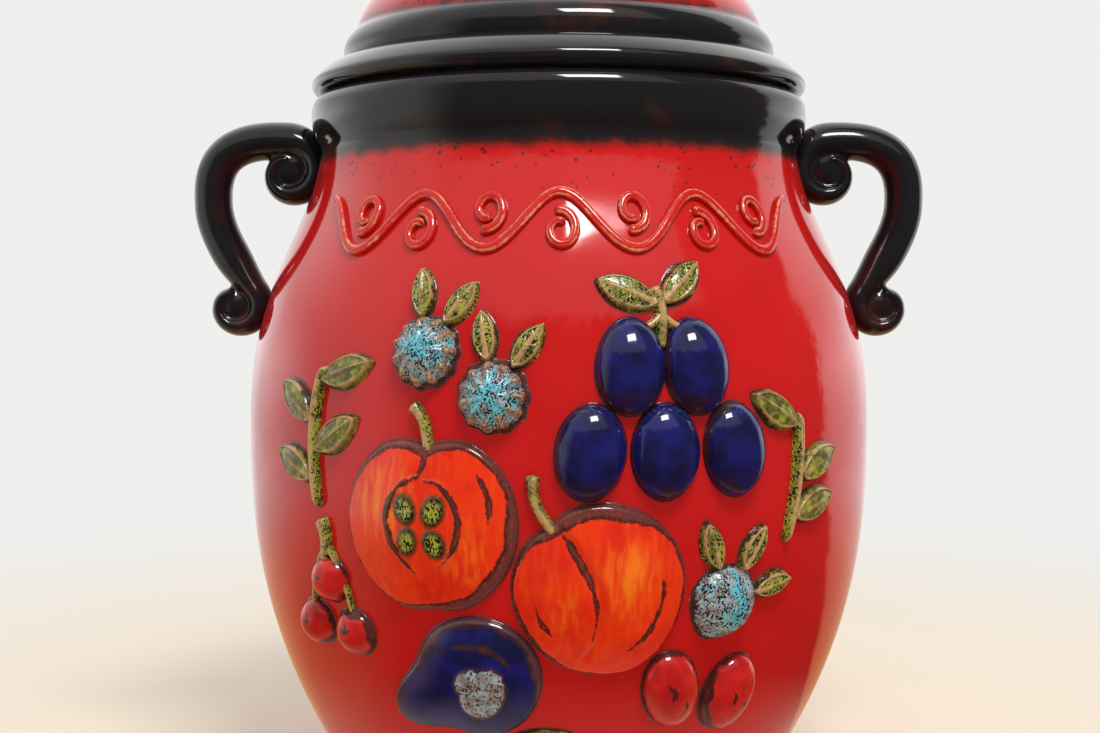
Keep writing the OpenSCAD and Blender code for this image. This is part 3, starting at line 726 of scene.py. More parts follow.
fig = piece("fig_sprig", [sprig(
    fig_at, fig_edge, fig_height, 12, (0.6, 3.4), {
        "strokes": strokes_of(fig_strokes),
        "pips": lambda x, y: to_ovals(x, y, fig_heart),
        "blush": lambda x, y: np.clip((-y - 6) / 14, 0, 1),
    }, rings=60, spokes=256)])
settle(fig, "pot", "cobalt_glaze", "fig")

# %% [markdown]
# ## The damsons
# Five smooth ovals in two rows, leaning outwards. They nearly touch, and the glaze closes what is
# left between them, so each is a hair larger than its clay.

# %% The damsons
across = 2 * damson_w + seam
down = 2 * damson_l * math.sqrt(1 - (across / (4 * damson_w))**2) + 2 * seam
damson_shells = []
for row in (0, 1):
    for i in range(row + 2):
        out = i - (row + 1) / 2
        at = damsons_at + np.array([out * across * (1 + 0.1 * row), (0.5 - row) * down])
        outline = oval(damson_l + 0.5, damson_w + 0.5, 90 + 7 * out)
        damson_shells.append(sprig(
            at, outline, domed(damson_relief + 0.4), 20 + 3 * row + i, (0.1, 1.6), {
                "pips": nowhere,
                "blush": lambda x, y: np.clip((y - 5) / 9, 0, 1) - np.clip((-y - 4) / 9, 0, 1),
            }, apron=0.6, roll=0.4))
damsons = piece("damson_sprigs", damson_shells)
settle(damsons, "pot", "cobalt_glaze", "damsons")

# %% [markdown]
# ## Berries that are part of a ball
# A round berry that is half sunk in the wall is again a patch, whose height is part of a ball.
# Ribs are a wave round the middle, pressed in between them, that fades out at the centre and
# the edge. The rule for the glaze is the same wave, so the colour changes along the ribs.

# %% Berries that are part of a ball
def ball_patch(r, h):
    """Radius of the patch that a ball of radius r makes where it stands out by h, and its height."""
    reach = math.sqrt(r * r - (r - h)**2)
    return reach, lambda x, y, s: np.sqrt(r * r - (s * reach)**2) - (r - h)


def rib_wave(x, y, ribs):
    """Rises to 1 on each rib."""
    return 0.5 + 0.5 * np.cos(ribs * np.arctan2(y, x))


def ribbed(r, h, ribs, depth, knobs=0.0):
    """Height of a ribbed berry, with knobs near its edge."""
    reach, ball = ball_patch(r, h)

    def height(x, y, s):
        wave = rib_wave(x, y, ribs)
        groove = depth * (1 - wave) * smooth(np.clip(1.6 * s, 0, 1)) * np.clip(9 * (1 - s), 0, 1)
        return ball(x, y, s) - groove + knobs * wave**1.5 * np.exp(-((s - 0.8) / 0.11)**2)

    return reach, height


def rib_field(ribs, reach):
    """Rule for how bare a rib is: it fades out towards the middle."""
    return lambda x, y: rib_wave(x, y, ribs) * np.clip(np.hypot(x, y) / reach * 1.5 - 0.35, 0, 1)


# %% [markdown]
# ## Gooseberries and the hazelnut
# The gooseberries get ribs that end in little knobs, and their outline bulges with them. The
# nut gets a pointed tip and fine ribs. Plain balls would look like beads.

# %% Gooseberries and the hazelnut
berry_ribs, nut_ribs = 11, 16
gooseberry_reach, gooseberry_height = ribbed(gooseberry_r, damson_relief, berry_ribs, 0.5, 1.2)
hazelnut_reach, hazelnut_height = ribbed(hazelnut_r, damson_relief, nut_ribs, 0.18)


def gooseberry_edge(a):
    """Radius of a gooseberry, a little wider at each rib."""
    return gooseberry_reach * (1 + 0.035 * np.cos(np.radians(berry_ribs * a)))


def hazelnut_edge(a):
    """Radius of the hazelnut, with its tip at the lower left."""
    return hazelnut_reach * (1 + bump(a, 240, 0.1, 18))


gooseberries = piece("gooseberry_sprigs", [
    sprig(at, gooseberry_edge, gooseberry_height, 31 + k, (0.3, 1.5), {
        "ribs": rib_field(berry_ribs, gooseberry_reach),
        "blush": cheek((0, 1, 6, 6, 1)),
    }, roll=0.5) for k, at in enumerate((gooseberry_a_at, gooseberry_b_at))])
settle(gooseberries, "pot", "turquoise_glaze", "gooseberries")

hazelnut = piece("hazelnut_sprig", [
    sprig(hazelnut_at, hazelnut_edge, hazelnut_height, 36, (0.3, 1.7), {
        "ribs": rib_field(nut_ribs, 3 * hazelnut_reach),
        "blush": cheek((1, -1, 4, 9, 1)),
    }, roll=0.5)])
settle(hazelnut, "pot", "turquoise_glaze", "hazelnut")

# %% [markdown]
# ## Cranberries and rose hips
# These are plain round and oval patches. What makes them berries is the brush: a small mark
# like a crown on each cranberry, and two long strokes on each hip.

# %% Cranberries and rose hips
cranberry_reach, cranberry_ball = ball_patch(cranberry_r, 0.75 * cranberry_r)
cranberry_step, hip_step = 2 * cranberry_r + fruit_gap / 2, 2.3 * hip_w + fruit_gap
berry_marks = [brushed([[-2, 2.9, 0.1], [0.2, 1.8, 0.6], [2.2, 2.7, 0.1]]),
               brushed([[0.3, 1.8, 0.4], [0.2, 2.8, 0.35], [0.4, 4, 0.1]])]
hip_marks = [brushed([[-3.4, 4.6, 0.1], [-1.6, 2.4, 0.7], [-1.8, -1, 0.1]]),
             brushed([[2.2, 0.4, 0.1], [3.2, -3.2, 0.6], [1.8, -6.4, 0.1]])]

cranberries = piece("cranberry_sprigs", [
    sprig(cranberries_at + cranberry_step * np.array(spot), lambda a: cranberry_reach + 0 * a,
          cranberry_ball, 41 + k, (0.3, 1.9), {
              "strokes": strokes_of(berry_marks),
              "blush": lambda x, y: np.clip((-x - 1) / 6, 0, 1),
          }, rings=32, spokes=144, roll=0.5)
    for k, spot in enumerate(([0, 0.62], [-0.62, -0.3], [0.5, -0.36]))])
settle(cranberries, "pot", "berry_glaze", "cranberries")

hips = piece("rose_hip_sprigs", [
    sprig(polar(hips_at, hip_step * i, -8), oval(hip_l, hip_w, 105 - 30 * i),
          domed(damson_relief), 51 + i, (0.4, 2.4), {
              "strokes": strokes_of(hip_marks),
              "blush": lambda x, y: np.clip((x - 1) / 7, 0, 1),
          }, roll=0.5) for i in (0, 1)])
settle(hips, "pot", "berry_glaze", "rose_hips")

# %% [markdown]
# ## Leaves
# A leaf sprig has a raised rim, a raised midrib and faint side ribs, where the glaze runs thin and
# turns tan. The pointed outline is where two circles cross, as in the CAD source.

# %% Leaves
def leaf_edge(l, w, turn):
    """Radius of a leaf, pointed at both ends, whose long axis points at an angle."""
    r = (l * l + w * w) / (2 * w)
    d = r - w

    def edge(a):
        a = np.radians(a - turn)
        return np.sqrt(r * r - (d * np.cos(a))**2) - d * np.abs(np.sin(a))

    return edge


def leaf(at, turn, size, seed, plain=0.0):
    """Shell of one leaf with a rim, a midrib and side ribs. A plain one is mottled, not curdled."""
    l, w = leaf_l * size, leaf_w * size
    c, s = math.cos(math.radians(turn)), math.sin(math.radians(turn))
    edge = leaf_edge(l, w, turn)

    def midrib(x, y):
        return np.abs(y * c - x * s) - 0.5 * (1 - 0.6 * (x * c + y * s) / l)

    def side_ribs(x, y):
        along, across = x * c + y * s, np.abs(y * c - x * s)
        slant = (along - 0.9 * across + 40) % (0.42 * l)
        return np.maximum(np.abs(slant - 0.21 * l) - 0.12, across - 0.62 * w)

    def height(x, y, share):
        inward = (1 - share) * edge(np.degrees(np.arctan2(y, x)))
        rim = np.exp(-((inward - 0.9) / 0.5)**2)
        relief = crowned(leaf_relief - 0.3)(x, y, share) + 0.45 * rim
        return relief + pad(midrib(x, y), 0.4, 0.7) + pad(side_ribs(x, y), 0.22, 0.7)

    return sprig(at, edge, height, seed, (-0.4, 0.6), {
        "ribs": midrib,
        "plain": lambda x, y: plain + 0 * x,
    }, rings=40, spokes=160, apron=1.0, roll=1.0)


# %% [markdown]
# ## Stalks and stems
# Stalks are trailed or rolled clay: a rounded line that follows the wall. Its stations are
# placed in the flat layout, and the section is wrapped on the wall with them. Two fields go with
# it: "ribs" falls to 0 on top of the line, as it does on a leaf's midrib, and "shoulder" says
# how far a point is from the middle, in shares of the half width.

# %% Stalks and stems
leaf_step = 8    # stations from one place for a leaf to the next
section_a = np.radians(np.linspace(0, 180, 17))
section_across = np.concatenate([[1.25], np.cos(section_a), [-1.25]])
section_crest = np.concatenate([[-0.4], np.sin(section_a), [-0.4]])


def stalk(start, end, bow, n=6, width=1.0):
    """Stations of a curved stalk with n places for a leaf, a little wider at its end."""
    start, end = np.asarray(start, float), np.asarray(end, float)
    run = end - start
    mid = (start + end) / 2 + bow * np.array([run[1], -run[0]]) / np.linalg.norm(run)
    t = np.linspace(0, 1, n * leaf_step + 1)[:, None]
    places = (1 - t)**2 * start + 2 * t * (1 - t) * mid + t * t * end
    return np.column_stack([places, width * stalk_w * (1 + 0.5 * t**4)])


def rooted(path, depth, steps=8):
    """The stalk with a longer foot, so that it grows out of its fruit."""
    down = path[0, :2] - path[1, :2]
    reach = np.linspace(depth, 0, steps, endpoint=False)[:, None]
    places = path[0, :2] + reach * down / np.linalg.norm(down)
    return np.concatenate([np.column_stack([places, np.full(steps, path[0, 2])]), path])


def raised_line(path, h, round_ends=1.2):
    """Shell of a round-backed line on the wall along stations [u, z, half width]."""
    run = np.gradient(path[:, :2], axis=0)
    side = np.stack([run[:, 1], -run[:, 0]], -1) / np.linalg.norm(run, axis=1)[:, None]
    gone = np.concatenate([[0], np.cumsum(np.linalg.norm(np.diff(path[:, :2], axis=0), axis=1))])
    inward = np.clip(np.minimum(gone, gone[-1] - gone) / round_ends, 0, 1)
    taper = np.sqrt(np.clip(1 - (1 - inward)**2, 0.004, 1))[:, None]
    up = np.concatenate([[buried], slip + h * np.sin(section_a)**0.85, [buried]])
    up[1], up[-2] = 0.1, 0.1
    half = path[:, 2:] * taper
    z = path[:, 1:2] + side[:, 1:] * half * section_across
    lift = np.where(up > 0.2, up * taper, up + 0 * taper)
    out = side[:, :1] * half * section_across
    turn = np.degrees(path[:, :1] / belly_r + out / wall_r(path[:, 1:2]))
    rows = on_wall(turn, z, lift).reshape(-1, 3)
    ends = [on_wall(np.degrees(path[k, 0] / belly_r), path[k, 1], buried)[None] for k in (0, -1)]
    n, m = len(path), len(up)
    faces = cap(0, 2, m) + quads(n, m, 2) + [face[::-1] for face in cap(1, 2 + (n - 1) * m, m)]
    ribs = np.concatenate([[1, 1], np.tile(1 - section_crest, n)])
    shoulder = np.concatenate([[0, 0], np.tile(np.abs(section_across), n)])
    return np.concatenate([*ends, rows]), faces, {"ribs": ribs, "shoulder": shoulder}


# %% [markdown]
# ## Growing leaves on a stalk
# A leaf is told by its place on the stalk and its side, and its foot is put beside the line
# there. So a stalk can be bent without losing its leaves. A piece of greens gets just the fields
# that the olive glaze reads, with a resting value where a shell has none of its own.

# %% Growing leaves on a stalk
leaf_splay = 58
green_fields = {"ribs": 1.0, "inward": 3.0, "stroke": 9.0, "plain": 0.0}


def leaf_on(path, i, side, size, seed, plain=0.0):
    """A leaf that grows from one place of a stalk, to one side."""
    k = i * leaf_step
    run = path[k + 1] - path[k - 1]
    along = math.degrees(math.atan2(run[1], run[0]))
    foot = polar(path[k, :2], side * 0.6 * stalk_w, along - 90)
    turn = along - side * leaf_splay
    return leaf(polar(foot, leaf_l * size, turn), turn, size, seed, plain)


def greens(name, node, shells):
    """A piece of leaves and stalks in olive glaze."""
    shells = [(points, faces, {field: values.get(field, np.full(len(points), rest))
                               for field, rest in green_fields.items()})
              for points, faces, values in shells]
    return settle(piece(name, shells), "pot", "olive_glaze", node)


# %% [markdown]
# ## The fruits' own stalks
# Each stalk starts above its fruit, and its foot runs back under the fruit's apron. The damsons
# and the cranberries hang from forks, which are thinner lines that meet in the stalk.

# %% The fruits' own stalks
up = np.array([0.0, 1.0])
apple_foot = apple_at + (apple_r * 0.86 + fruit_gap + stalk_w) * up
peach_foot = polar(peach_at, peach_r + fruit_gap, 128)
damson_foot = damsons_at + 1.8 * damson_l * up
cranberry_foot = cranberries_at + (2.4 * cranberry_r + fruit_gap) * up
apple_path, peach_path, damson_path, cranberry_path = [
    stalk(foot, foot + stalk_l * np.array(run), bow * stalk_l) for foot, run, bow in (
        (apple_foot, [-0.45, 0.73], 0.18), (peach_foot, [-0.27, 1.18], -0.23),
        (damson_foot, [-0.18, 1], 0.18), (cranberry_foot, [-0.18, 0.82], 0.18))]
damson_forks = [
    stalk(damsons_at + [side * 9.2, 1.66 * damson_l], damson_foot + 2.6 * up, side * -2.2, width=0.8)
    for side in (-1, 1)]
cranberry_forks = [
    stalk(cranberries_at + place, cranberry_foot + 0.8 * up, bow, width=0.55)
    for place, bow in (([-10.6, 0.6], -3.2), ([8.8, -0.6], 3.8))]
leaves = [
    greens("apple_stalk_sprig", "apple_stalk", [raised_line(rooted(apple_path, 6.5), leaf_relief)]),
    greens("peach_stalk_sprig", "peach_stalk", [raised_line(rooted(peach_path, 6), leaf_relief)]),
    greens("damson_stalk_sprig", "damson_stalk", [
        raised_line(rooted(damson_path, 8), leaf_relief),
        leaf_on(damson_path, 3, 1, 0.65, 61), leaf_on(damson_path, 3, -1, 0.7, 62),
        *(raised_line(fork, 0.8 * leaf_relief) for fork in damson_forks)]),
    greens("cranberry_stalk_sprig", "cranberry_stalk", [
        raised_line(rooted(cranberry_path, 4.5), leaf_relief),
        *(raised_line(fork, 0.55 * leaf_relief) for fork in cranberry_forks)]),
]

# %% [markdown]
# ## Leaves beside the fruits
# The fig lies on one larger leaf. The gooseberries' leaves and the lobes of the nut's husk are
# small leaves set round the fruit, each pushed 2.5 mm under the fruit's apron.

# %% Leaves beside the fruits
tucked, small_leaf = 2.5, 0.55


def tucked_leaf(at, reach, turn, seed):
    """A small leaf beside a fruit of some reach, with its foot under the fruit's edge."""
    place = polar(at, reach + seam + small_leaf * leaf_l - tucked, turn)
    return leaf(place, turn, small_leaf, seed + turn)


fig_leaf_at = polar(fig_at, fig_r + 2 * fruit_gap + leaf_w, -62)
leaves += [
    greens("fig_leaf_sprig", "fig_leaf", [leaf(fig_leaf_at, 30, 1.1, 63, 1.0)]),
    greens("gooseberry_leaf_sprigs", "gooseberry_leaves",
           [tucked_leaf(at, gooseberry_r, turn, 64)
            for at in (gooseberry_a_at, gooseberry_b_at) for turn in (55, 100)]),
    greens("hazelnut_husk_sprig", "hazelnut_husk",
           [tucked_leaf(hazelnut_at, hazelnut_r, turn, 70) for turn in (12, 60, 108)]),
]

# %% [markdown]
# ## Leaf sprays
# The sprays at the sides are bowed stems with leaves to left and right by turns. The stem swells a
# little above its foot and thins towards its end, as a twig does.

# %% Leaf sprays
spray_l, spray_gap = 46.0, 12.0
stem_at, stem_width = [0, 0.2, 0.75, 1], [0.45, 0.95, 0.9, 0.55]


def leaf_spray(foot, run, bow, places, seed):
    """Bowed stem with leaves at [place, side]."""
    path = stalk(foot, foot + spray_l * np.array(run), bow * spray_l, 10)
    path[:, 2] *= np.interp(np.linspace(0, 1, len(path)), stem_at, stem_width)
    stem = raised_line(path, leaf_relief, 3.5)
    return [stem, *(leaf_on(path, i, side, 0.72, seed + i, 1.0) for i, side in places)]


left_foot = apple_at - [apple_r + fruit_gap + spray_gap, -0.04 * spray_l]
right_foot = hazelnut_at + [hazelnut_r + spray_gap - fruit_gap, 0.37 * spray_l]
leaves += [
    greens("leaf_spray_left_sprig", "leaf_spray_left", leaf_spray(
        left_foot, [0.04, 1], -0.13, [(2, -1), (4, 1), (6, -1), (9, 1)], 80)),
    greens("leaf_spray_right_sprig", "leaf_spray_right", leaf_spray(
        right_foot, [0.11, 0.91], 0.087, [(2, 1), (5, 1), (9, -1)], 95)),
]

# %% [markdown]
# ## The vine round the shoulder
# The picture has raised trailed lines on the shoulder. Here they are a plain running
# vine: a wavy line with a curl in each bend. It is the same rounded line as the stalks,
# wrapped on the wall, but lower and of an even width.

# %% The vine round the shoulder
scroll_count, scroll_pitch, vine_wave, scroll_r, line_w, line_h = 7, 27.0, 9.0, 8.2, 3.4, 1.8
bends, middle, line_ends = scroll_count + 1, (scroll_count - 1) / 2, 1.6

bend = np.linspace(-0.5, 0.5, 60 * bends + 1) * bends
wave = band_z - vine_wave * np.cos(np.pi * (bend + middle))
stem = np.column_stack([bend * scroll_pitch, wave, np.full(len(bend), line_w / 2)])
vine_shells = [raised_line(stem, line_h, line_ends)]
for i in range(scroll_count):
    way = 1 if i % 2 == 0 else -1
    u0 = (i - middle) * scroll_pitch
    z0 = band_z - way * (vine_wave - line_w - seam - scroll_r)
    t = np.linspace(0, 1, 109)
    a = np.radians(-110 + 420 * t)
    r = scroll_r * (1 - 0.7 * t) - line_w / 2 * (1 - t)
    curl = [u0 + r * np.cos(a), z0 + way * r * np.sin(a), line_w / 2 * (1 - 0.25 * t)]
    vine_shells.append(raised_line(np.column_stack(curl), line_h, line_ends))
vine = piece("shoulder_vine", vine_shells)
settle(vine, "pot", "relief_line", "scroll_band")

# %% [markdown]
# ## Wiring nodes
# Every glaze, and the light too, is a tree of nodes. In Python a node takes a line to make, one to
# set and one to link, which soon hides what the tree does. This small class gives short names to
# the few kinds of node that all trees share, so a glaze can be read as a recipe.

# %% Wiring nodes
class Wiring:
    """The nodes of one tree."""

    def __init__(self, tree):
        self.nodes, self.links = tree.nodes, tree.links

    def new(self, kind, **settings):
        """A new node with its settings."""
        node = self.nodes.new(f"ShaderNode{kind}")
        for name, value in settings.items():
            setattr(node, name, value)
        return node

    def feed(self, node, **values):
        """Sets or links inputs of a node, by name or as i0, i1 and so on."""
        for key, value in values.items():
            socket = node.inputs[int(key[1:]) if key[1:].isdigit() else key.replace("_", " ")]
            if isinstance(value, bpy.types.NodeSocket):
                self.links.new(value, socket)
            else:
                socket.default_value = value
        return node

    def math(self, operation, a, b=0.0):
        return self.feed(self.new("Math", operation=operation), i0=a, i1=b).outputs[0]

    def add(self, a, b):
        return self.math("ADD", a, b)

    def times(self, a, b):
        return self.math("MULTIPLY", a, b)

    def vector(self, operation, a, b=(0, 0, 0)):
        return self.feed(self.new("VectorMath", operation=operation), i0=a, i1=b)

    def parts(self, vector):
        """The x, y and z of a vector."""
        return self.feed(self.new("SeparateXYZ"), i0=vector).outputs

    def band(self, value, low, high, start=0.0, end=1.0):
        """Runs softly from start to end while the value goes from low to high."""
        node = self.new("MapRange", interpolation_type="SMOOTHSTEP")
        return self.feed(node, i0=value, i1=low, i2=high, i3=start, i4=end).outputs[0]

    def blend(self, share, a, b, how="MIX"):
        """Colour a with a share of colour b over it."""
        a, b = [(*c, 1.0) if isinstance(c, tuple) else c for c in (a, b)]
        node = self.new("Mix", data_type="RGBA", blend_type=how)
        return self.feed(node, i0=share, i6=a, i7=b).outputs[2]


# %% [markdown]
# ## Mixing glazes
# A glaze is a node tree on one Principled shader. The real glazes break, speckle and run, which
# are all noise of different sizes read at the object's own coordinates, so they stay on
# the pot when it moves. Sizes are in millimetres, so a speckle of 1.4 is 1.4 mm on the pot, but
# heights are in metres, as Blender counts them.

# %% Mixing glazes
class GlazeMix(Wiring):
    """The nodes of one glaze."""

    def __init__(self, name, roughness=0.07):
        self.material = bpy.data.materials.new(name)
        self.material.use_nodes = True
        super().__init__(self.material.node_tree)
        self.shader = self.nodes["Principled BSDF"]
        self.feed(self.shader, Roughness=roughness, IOR=1.5)
        self.place = self.new("TexCoord").outputs["Object"]

    def field(self, name):
        """A field that was stored with the piece."""
        return self.new("Attribute", attribute_name=name).outputs["Fac"]

    def height(self):
        return self.parts(self.place)[2]

    def upright(self, share):
        """Coordinates in which noise is drawn out up the wall."""
        return self.vector("MULTIPLY", self.place, (1, 1, share)).outputs[0]

    def noise(self, size, detail=2.0, place=None):
        place = place or self.place
        node = self.feed(self.new("TexNoise"), Vector=place, Scale=1 / (size * MM), Detail=detail)
        return node.outputs[0]

    def jitter(self, size, detail, span):
        """Noise on both sides of nought, to fray an edge."""
        return self.times(self.math("SUBTRACT", self.noise(size, detail), 0.5), span)

    def uneven(self, size, detail, start=0.0, end=1.0):
        """Wanders between two values."""
        return self.band(self.noise(size, detail), 0.3, 0.7, start, end)

    def spots(self, size, density):
        """Round specks, denser or sparser."""
        node = self.feed(self.new("TexVoronoi"), Vector=self.place, Scale=1 / (size * MM))
        return self.math("LESS_THAN", node.outputs[0], density)

    def finish(self, colour, roughness, relief, relief_mm):
        """Joins the shader to its colour, its roughness and a relief of fractions of a mm."""
        fine = self.feed(self.new("Bump"), Strength=1.0, Distance=relief_mm * MM, Height=relief)
        self.feed(self.shader, Base_Color=colour, Roughness=roughness, Normal=fine.outputs[0])
        print(f"{self.material.name}: {len(self.nodes)} nodes")
        return self.material


def glaze_pieces(material, *pieces):
    """One glaze on some pieces."""
    for obj in pieces:
        obj.data.materials.clear()
        obj.data.materials.append(material)


# %% [markdown]
# ## Colours
# The colours are linear values that were set against the picture. The names are what a
# potter would call them, and several glazes share them: the tan of the clay is seen at the foot,
# on the leaves' ribs and on the vine, wherever the glaze runs thin.

# %% Colours
SIGNAL_RED = (0.56, 0.010, 0.010)
DEEP_RED = (0.36, 0.005, 0.006)
BLACK = (0.009, 0.0085, 0.010)
BURNT = (0.055, 0.014, 0.009)
BRUSH_BROWN = (0.040, 0.014, 0.011)
MAUVE_BROWN = (0.115, 0.038, 0.034)
TAN = (0.60, 0.37, 0.16)
WORN_TAN = (0.33, 0.17, 0.07)
RIB_TAN = (0.42, 0.25, 0.14)
ORANGE_RED = (0.78, 0.036, 0.005)
THIN_ORANGE = (0.82, 0.085, 0.006)
SCARLET = (0.66, 0.016, 0.006)
YELLOW = (0.88, 0.22, 0.010)
PIP_BROWN = (0.075, 0.045, 0.010)
PIP_RING = (0.075, 0.032, 0.008)
COBALT = (0.010, 0.010, 0.120)
INK_BLUE = (0.006, 0.006, 0.040)
DAMSON_BROWN = (0.030, 0.008, 0.016)
DAMSON_BLOOM = (0.06, 0.12, 0.11)
HEART_BROWN = (0.07, 0.035, 0.03)
TURQUOISE = (0.10, 0.46, 0.56)
ASH_BLUE = (0.31, 0.40, 0.43)
CLAY_GREY = (0.24, 0.20, 0.18)
BERRY_BROWN = (0.13, 0.065, 0.040)
BERRY_RED = (0.56, 0.016, 0.012)
BERRY_DARK = (0.40, 0.007, 0.008)
BERRY_ORANGE = (0.72, 0.085, 0.02)
OLIVE = (0.33, 0.33, 0.040)
DARK_OLIVE = (0.13, 0.125, 0.020)
MOSS = (0.075, 0.07, 0.022)
BARE_CLAY = (0.52, 0.40, 0.28)

# %% [markdown]
# ## Coats that pieces share
# The red and the black are each a touch uneven, since a glaze never lies in one thickness, and the
# black's red-brown patches also paint in dull red reflections. The inside is red and brown in
# patches. Thick glaze also dries with a faint orange peel, which breaks up the long reflections.

# %% Coats that pieces share
def red_base(g):
    """Red that is a little deeper here and there."""
    return g.blend(g.band(g.noise(45, 3), 0.35, 0.75, 0, 0.25), SIGNAL_RED, DEEP_RED)


def black_base(g):
    """Black that burns to red-brown in patches, which also paint in dull red reflections."""
    return g.blend(g.band(g.noise(21, 4), 0.56, 0.78, 0, 0.8), BLACK, BURNT)


def with_lining(g, colour):
    """The colour outside, and the mottled lining inside."""
    lining = g.blend(g.band(g.noise(16, 4), 0.4, 0.65), BURNT, DEEP_RED)
    return g.blend(g.field("lined"), colour, lining)


def orange_peel(g):
    """The faint unevenness of a thick glaze."""
    return g.add(g.times(g.noise(9, 1), 0.8), g.times(g.noise(2.2, 1), 0.12))


def part_bare(g, bare, colour):
    """Finishes a glaze that leaves rough clay bare in places."""
    colour = g.blend(bare, colour, g.blend(g.noise(1.5, 3), BARE_CLAY, TAN))
    roughness = g.add(g.uneven(30, 2, 0.05, 0.09), g.times(bare, 0.6))
    return g.finish(colour, roughness, orange_peel(g), 0.025)


# %% [markdown]
# ## The red and black of the body
# The pot is red, and its neck and the lid's edge were dipped or sprayed black. The black thins out
# downwards through brown, with dark specks and short runs in the last few millimetres. So the
# colour is chosen by height, and noise of two sizes pushes that height up and down. Where
# the foot was wiped and where the lid's ring goes into the mouth, the clay is bare.

# %% The red and black of the body
def body_glaze():
    g = GlazeMix("red_body_glaze")
    speckled_z, burnt_z, black_z = (0.205, 0.2385), (0.2342, 0.2386), (0.2368, 0.2402)
    wiped_z = (0.0022, 0.0032)
    runs = g.times(g.noise(7, 3, g.upright(0.3)), 0.004)
    ragged = g.add(runs, g.times(g.noise(1.3, 3), 0.0014))
    z = g.math("SUBTRACT", g.add(g.height(), ragged), 0.0027)
    specks = g.spots(2.6, g.band(g.height(), *speckled_z, 0.03, 0.27))
    specks = g.times(specks, g.math("GREATER_THAN", g.noise(3.4, 1), 0.5))
    colour = g.blend(g.times(specks, 0.85), red_base(g), BURNT)
    colour = g.blend(g.band(z, *burnt_z), colour, BURNT)
    colour = g.blend(g.band(z, *black_z), colour, black_base(g))
    bare = g.band(g.add(g.height(), g.times(g.noise(4, 3), 0.0016)), *wiped_z, 1, 0)
    return part_bare(g, bare, with_lining(g, colour))


def lid_glaze():
    g = GlazeMix("red_lid_glaze")
    speckled_z, burnt_z, black_z = (0.284, 0.296), (0.2838, 0.2915), (0.2838, 0.2868)
    seat_z = (0.2665, 0.2655)
    z = g.math("SUBTRACT", g.add(g.height(), g.times(g.noise(6, 4), 0.005)), 0.0025)
    specks = g.spots(3.2, g.band(g.height(), *speckled_z, 0.24, 0.06))
    colour = g.blend(g.band(z, *burnt_z, 0.9, 0), red_base(g), BURNT)
    colour = g.blend(g.times(specks, 0.8), colour, BURNT)
    colour = g.blend(g.band(z, *black_z, 1, 0), colour, black_base(g))
    bare = g.times(g.field("lined"), g.band(g.height(), *seat_z))
    return part_bare(g, bare, with_lining(g, colour))


glaze_pieces(body_glaze(), crock)
glaze_pieces(lid_glaze(), lid)

# %% [markdown]
# ## The black of the handles and the knob
# The straps and the knob are the same black. Low on the handles it was sprayed thinner and burns
# to brown.

# %% The black of the handles and the knob
def handle_glaze():
    g = GlazeMix("black_handle_glaze")
    burnt = g.times(g.band(g.noise(8, 4), 0.5, 0.72), g.band(g.height(), 0.170, 0.215, 0.75, 0))
    colour = g.blend(burnt, black_base(g), BURNT)
    return g.finish(colour, g.uneven(20, 2, 0.06, 0.12), orange_peel(g), 0.03)


glaze_pieces(handle_glaze(), knob, *handles)

# %% [markdown]
# ## Brushed outlines
# Before glazing, each fruit was outlined with a brush of dark oxide. The line is thick and thin,
# broken in places, and a mauve scum lies in its middle. The "stroke" field is the distance to
# it in millimetres, and fine noise is added before it is cut, so its edge is as ragged as a dry
# brush leaves it. The other helper curdles a glaze, which most of the fruits and leaves need.

# %% Brushed outlines
def outlined(g, colour, strength=0.95):
    """The colour with the brushed lines over it."""
    distance = g.add(g.field("stroke"), g.add(g.jitter(5, 2, 2.4), g.jitter(0.9, 4, 1.3)))
    streaks = g.band(g.noise(0.8, 3, g.upright(0.3)), 0.33, 0.42)
    share = g.times(g.band(distance, -0.2, 0.2, strength, 0), g.math("MAXIMUM", streaks, 0.72))
    scum = g.band(g.add(distance, g.times(g.noise(4, 3), 1.6)), -0.8, 0.3, 0.85, 0)
    return g.blend(share, colour, g.blend(scum, BRUSH_BROWN, MAUVE_BROWN))


def curdled(g, ground, dots, size, cut, upright=0.8):
    """Ground glaze curdled into a net of short dark worms where the noise is above the cut."""
    worms = g.add(g.noise(size, 1.5, g.upright(upright)), g.jitter(5 * size, 2, 0.4))
    return g.blend(g.band(worms, cut - 0.03, cut + 0.03), ground, dots)


# %% [markdown]
# ## Orange fruit
# The apple and the peach are a thin orange over red, wiped on in upright strokes, with a yellow
# cheek. Stretched noise gives the strokes, and the "blush" field says where the yellow is. The
# pips are olive with black curdling and a soft dark ring.

# %% Orange fruit
def orange_glaze():
    g = GlazeMix("orange_fruit_glaze")
    wiped = g.noise(2.0, 3, g.upright(0.16))
    yellow = g.times(g.field("blush"), g.band(wiped, 0.3, 0.72, 0.25, 1))
    colour = g.blend(g.band(g.noise(13, 3), 0.35, 0.7), ORANGE_RED, SCARLET)
    colour = g.blend(g.band(wiped, 0.4, 0.75, 0, 0.35), colour, THIN_ORANGE)
    colour = g.blend(g.band(yellow, 0.1, 1.0, 0, 0.72), colour, YELLOW)
    pips = g.add(g.field("pips"), g.jitter(0.9, 3, 1.1))
    colour = g.blend(g.band(pips, 0.1, 1.1, 0.85, 0), colour, PIP_RING)
    olive = curdled(g, g.blend(g.band(pips, -1.8, -0.2), OLIVE, PIP_BROWN), BLACK, 0.66, 0.53, 0.6)
    colour = g.blend(g.band(pips, -0.3, 0.2, 1, 0), colour, olive)
    return g.finish(outlined(g, colour), g.uneven(12, 2, 0.06, 0.12), orange_peel(g), 0.05)


glaze_pieces(orange_glaze(), apple, peach)

